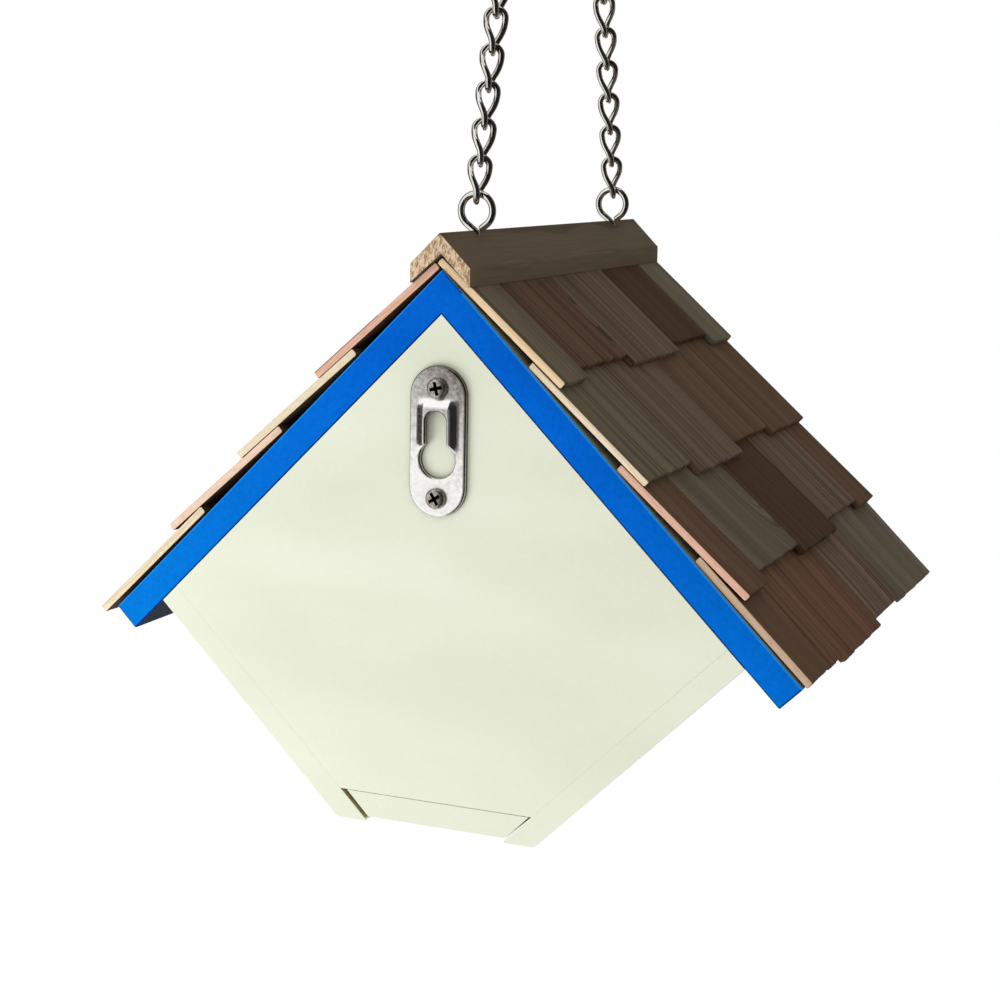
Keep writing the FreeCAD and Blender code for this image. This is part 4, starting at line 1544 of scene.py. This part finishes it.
    def head(self, height: float, turn: float) -> BMesh:
        """Turns a pan head with a cross recess.

        Args:
            height: The z of its middle.
            turn: How far its cross is turned, in radians.

        Returns:
            The head in its place.
        """
        mesh = bmesh.new()
        bmesh.ops.create_grid(mesh, x_segments=3, y_segments=3, size=self.cross_reach)
        for vert in mesh.verts:
            for axis in (0, 1):
                if abs(vert.co[axis]) < self.cross_reach * 0.5:
                    vert.co[axis] = math.copysign(self.cross_arm, vert.co[axis])
        corners = [f for f in mesh.faces if min(abs(c) for c in f.calc_center_median().xy) > self.cross_arm]
        bmesh.ops.delete(mesh, geom=corners, context="FACES")
        sunk = verts_in(bmesh.ops.extrude_face_region(mesh, geom=mesh.faces, use_keep_orig=False)["geom"])
        bmesh.ops.scale(mesh, vec=(self.cross_taper, self.cross_taper, 1.0), verts=sunk)
        bmesh.ops.translate(mesh, vec=Z_AXIS * -self.cross_depth, verts=sunk)
        outline = [e for e in mesh.edges if len(e.link_faces) == 1]
        ring = bmesh.ops.create_circle(mesh, segments=self.head_sides, radius=self.crown_radius)
        rim = edges_at(ring["verts"])
        bmesh.ops.triangle_fill(mesh, edges=outline + rim, use_beauty=True, normal=Z_AXIS)
        bmesh.ops.translate(mesh, vec=Z_AXIS * self.crown, verts=mesh.verts)
        for radius, level in self.head_profile:
            rim = extruded(mesh, rim)
            for vert in ends_of(rim):
                flat = Vector((vert.co.x, vert.co.y, 0.0)).normalized() * radius * MM
                vert.co = flat + Z_AXIS * level * MM
        place = Matrix.Translation((0.0, BACK + self.sheet, height)) @ Matrix.Rotation(-QUARTER, 4, "X")
        bmesh.ops.transform(mesh, matrix=place @ Matrix.Rotation(turn, 4, "Z"), verts=mesh.verts)
        bmesh.ops.recalc_face_normals(mesh, faces=mesh.faces)
        return mesh


@dataclass
class Studio:
    """Camera, lights, floor and background."""

    eye: Vector = Vector((-211.202, 548.214, -74.289)) * MM
    right: Vector = Vector((-0.923521, -0.383005, 0.020389))
    up: Vector = Vector((0.084539, -0.151418, 0.984848))
    lens: float = 71.979
    middle: Vector = Vector((0.0, 0.0, -0.18))
    floor_z: float = -0.95
    floor_radius: float = 6.0
    floor_tones: Span = (0.86, 0.9)
    ambient: float = 0.71
    key_way: Vector = Vector((0.58, 0.64, -0.5))
    key_power: float = 2.95
    key_size: float = 0.45
    key_distance: float = 0.75
    # outline of a flag from its ground cloth up, as distance from the middle and height
    flag_outline: tuple[Span, ...] = ((0.12, -0.6), (1.2, -0.6), (1.2, 0.6), (0.45, 1.1))
    # start and end of each flag in degrees from +X round to +Y, and how pale it is
    flag_spans: tuple[Triple, ...] = ((78.0, 205.0, 0.006), (205.0, 275.0, 0.22), (-8.0, 28.0, 0.01))
    flag_steps: int = 16

    def build(self) -> None:
        """Builds the camera, the light and the floor."""
        self.camera()
        self.world()
        self.key()
        self.floor()
        self.flags()
        bpy.context.scene.view_settings.view_transform = "Standard"

    def camera(self) -> None:
        """Stands the camera where the photograph was taken."""
        data = bpy.data.cameras.new("photo_camera")
        data.sensor_width, data.lens = 36.0, self.lens
        data.clip_start, data.clip_end = 0.01, 50.0
        camera = bpy.data.objects.new("photo_camera", data)
        place = Matrix((self.right, self.up, self.right.cross(self.up))).transposed().to_4x4()
        place.translation = self.eye
        camera.matrix_world = place
        bpy.context.scene.collection.objects.link(camera)
        bpy.context.scene.camera = camera

    @staticmethod
    def seen(graph: Graph) -> NodeSocket:
        """Tells rays that see the background: from the camera, off metal or through glass.

        Args:
            graph: The tree of the background or floor.

        Returns:
            1 for such a ray, else 0.
        """
        path = graph.add("LightPath").outputs
        seen = graph.math("MAXIMUM", path["Is Camera Ray"], path["Is Glossy Ray"])
        return graph.math("MAXIMUM", seen, path["Is Transmission Ray"])

    def world(self) -> None:
        """Makes a white background and an even light."""
        world = bpy.data.worlds.new("white_studio")
        world.use_nodes = True
        world.node_tree.nodes.clear()
        graph = Graph(world.node_tree)
        strength = graph.ease(self.seen(graph), 0.0, 1.0, self.ambient, 1.0)
        light = graph.add("Background", {"Color": WHITE, "Strength": strength})
        graph.add("OutputWorld", {"Surface": light.outputs[0]})
        bpy.context.scene.world = world

    def key(self) -> None:
        """Hangs the soft key light."""
        data = bpy.data.lights.new("soft_key", "AREA")
        data.shape, data.size, data.energy = "SQUARE", self.key_size, self.key_power
        lamp = bpy.data.objects.new("soft_key", data)
        way = self.key_way.normalized()
        place = way.to_track_quat("Z", "Y").to_matrix().to_4x4()
        place.translation = self.middle + way * self.key_distance
        lamp.matrix_world = place
        lamp.visible_glossy = False
        bpy.context.scene.collection.objects.link(lamp)

    def floor(self) -> None:
        """Lays the pale floor far below the hanging house, white to the camera away from the middle."""
        mesh = bmesh.new()
        bmesh.ops.create_circle(mesh, cap_ends=True, segments=96, radius=self.floor_radius,
                                matrix=Matrix.Translation((0.0, 0.0, self.floor_z)))
        material, graph, shader = surface("pale_floor")
        pale = graph.ease(graph.noise(graph.place(), 6.0, 3.0), *USUAL, *self.floor_tones)
        graph.feed(shader, {"Base Color": graph.grey(pale), "Roughness": 0.9, "Specular IOR Level": 0.1})
        white = graph.add("Emission", {"Color": WHITE, "Strength": 1.0})
        flat = graph.vectors("MULTIPLY", {0: graph.place(), 1: (1.0, 1.0, 0.0)})
        reach = graph.vectors("LENGTH", {0: flat}, "Value")
        share = graph.math("MULTIPLY", self.seen(graph), graph.ease(reach, 0.3, 0.75, 0.55, 1.0))
        mixed = graph.add("MixShader", {0: share, 1: shader.outputs[0], 2: white.outputs[0]})
        leave = next(n for n in graph.tree.nodes if n.type == "OUTPUT_MATERIAL")
        graph.feed(leave, {"Surface": mixed.outputs[0]})
        self.prop(mesh, "studio_floor", material)

    def flags(self) -> None:
        """Stands curved dark flags round the house, which only bright metal shows."""
        for number, (start, end, pale) in enumerate(self.flag_spans, 1):
            material, graph, shader = surface("flag_cloth_%d" % number)
            tone = graph.ease(graph.noise(graph.place(), 3.0, 2.0), *USUAL, 0.8 * pale, 1.2 * pale)
            graph.feed(shader, {"Base Color": graph.grey(tone), "Roughness": 0.95, "Specular IOR Level": 0.0})
            mesh = bmesh.new()
            way = Matrix.Rotation(math.radians(start), 3, "Z") @ X_AXIS
            foot, *rest = [way * reach + Z_AXIS * height for reach, height in self.flag_outline]
            vert = mesh.verts.new(foot)
            for point in rest:
                vert = bmesh.ops.extrude_vert_indiv(mesh, verts=[vert])["verts"][0]
                vert.co = point
            bmesh.ops.spin(mesh, geom=[*mesh.verts, *mesh.edges], cent=(0.0, 0.0, 0.0), axis=Z_AXIS,
                           angle=math.radians(end - start), steps=self.flag_steps)
            flag = self.prop(mesh, "dark_flag_%d" % number, material)
            flag.visible_camera = flag.visible_diffuse = flag.visible_shadow = False

    @staticmethod
    def prop(mesh: BMesh, name: str, material: Material) -> Object:
        """Makes a mesh part of the studio.

        Args:
            mesh: The mesh, which is used up.
            name: The object's name.
            material: Its material.

        Returns:
            The object.
        """
        data = bpy.data.meshes.new(name)
        mesh.to_mesh(data)
        mesh.free()
        data.materials.append(material)
        prop = bpy.data.objects.new(name, data)
        bpy.context.scene.collection.objects.link(prop)
        return prop


def main() -> None:
    """Builds the studio and then the house from the shell up."""
    logging.basicConfig(level=logging.INFO, format="%(name)s: %(message)s")
    palette = Palette()
    Studio().build()
    Shell(palette).build()
    Roof(palette).build()
    KeyholePlate(palette).build()
    Chains(palette).build()
    for node in ("roof_brads", "wall_brads"):
        data = frame["nodes"][node].data
        data.materials.clear()
        data.materials.append(palette.steel)
        LOG.info("%s keeps its CAD shape", node)


if __name__ == "__main__":
    main()
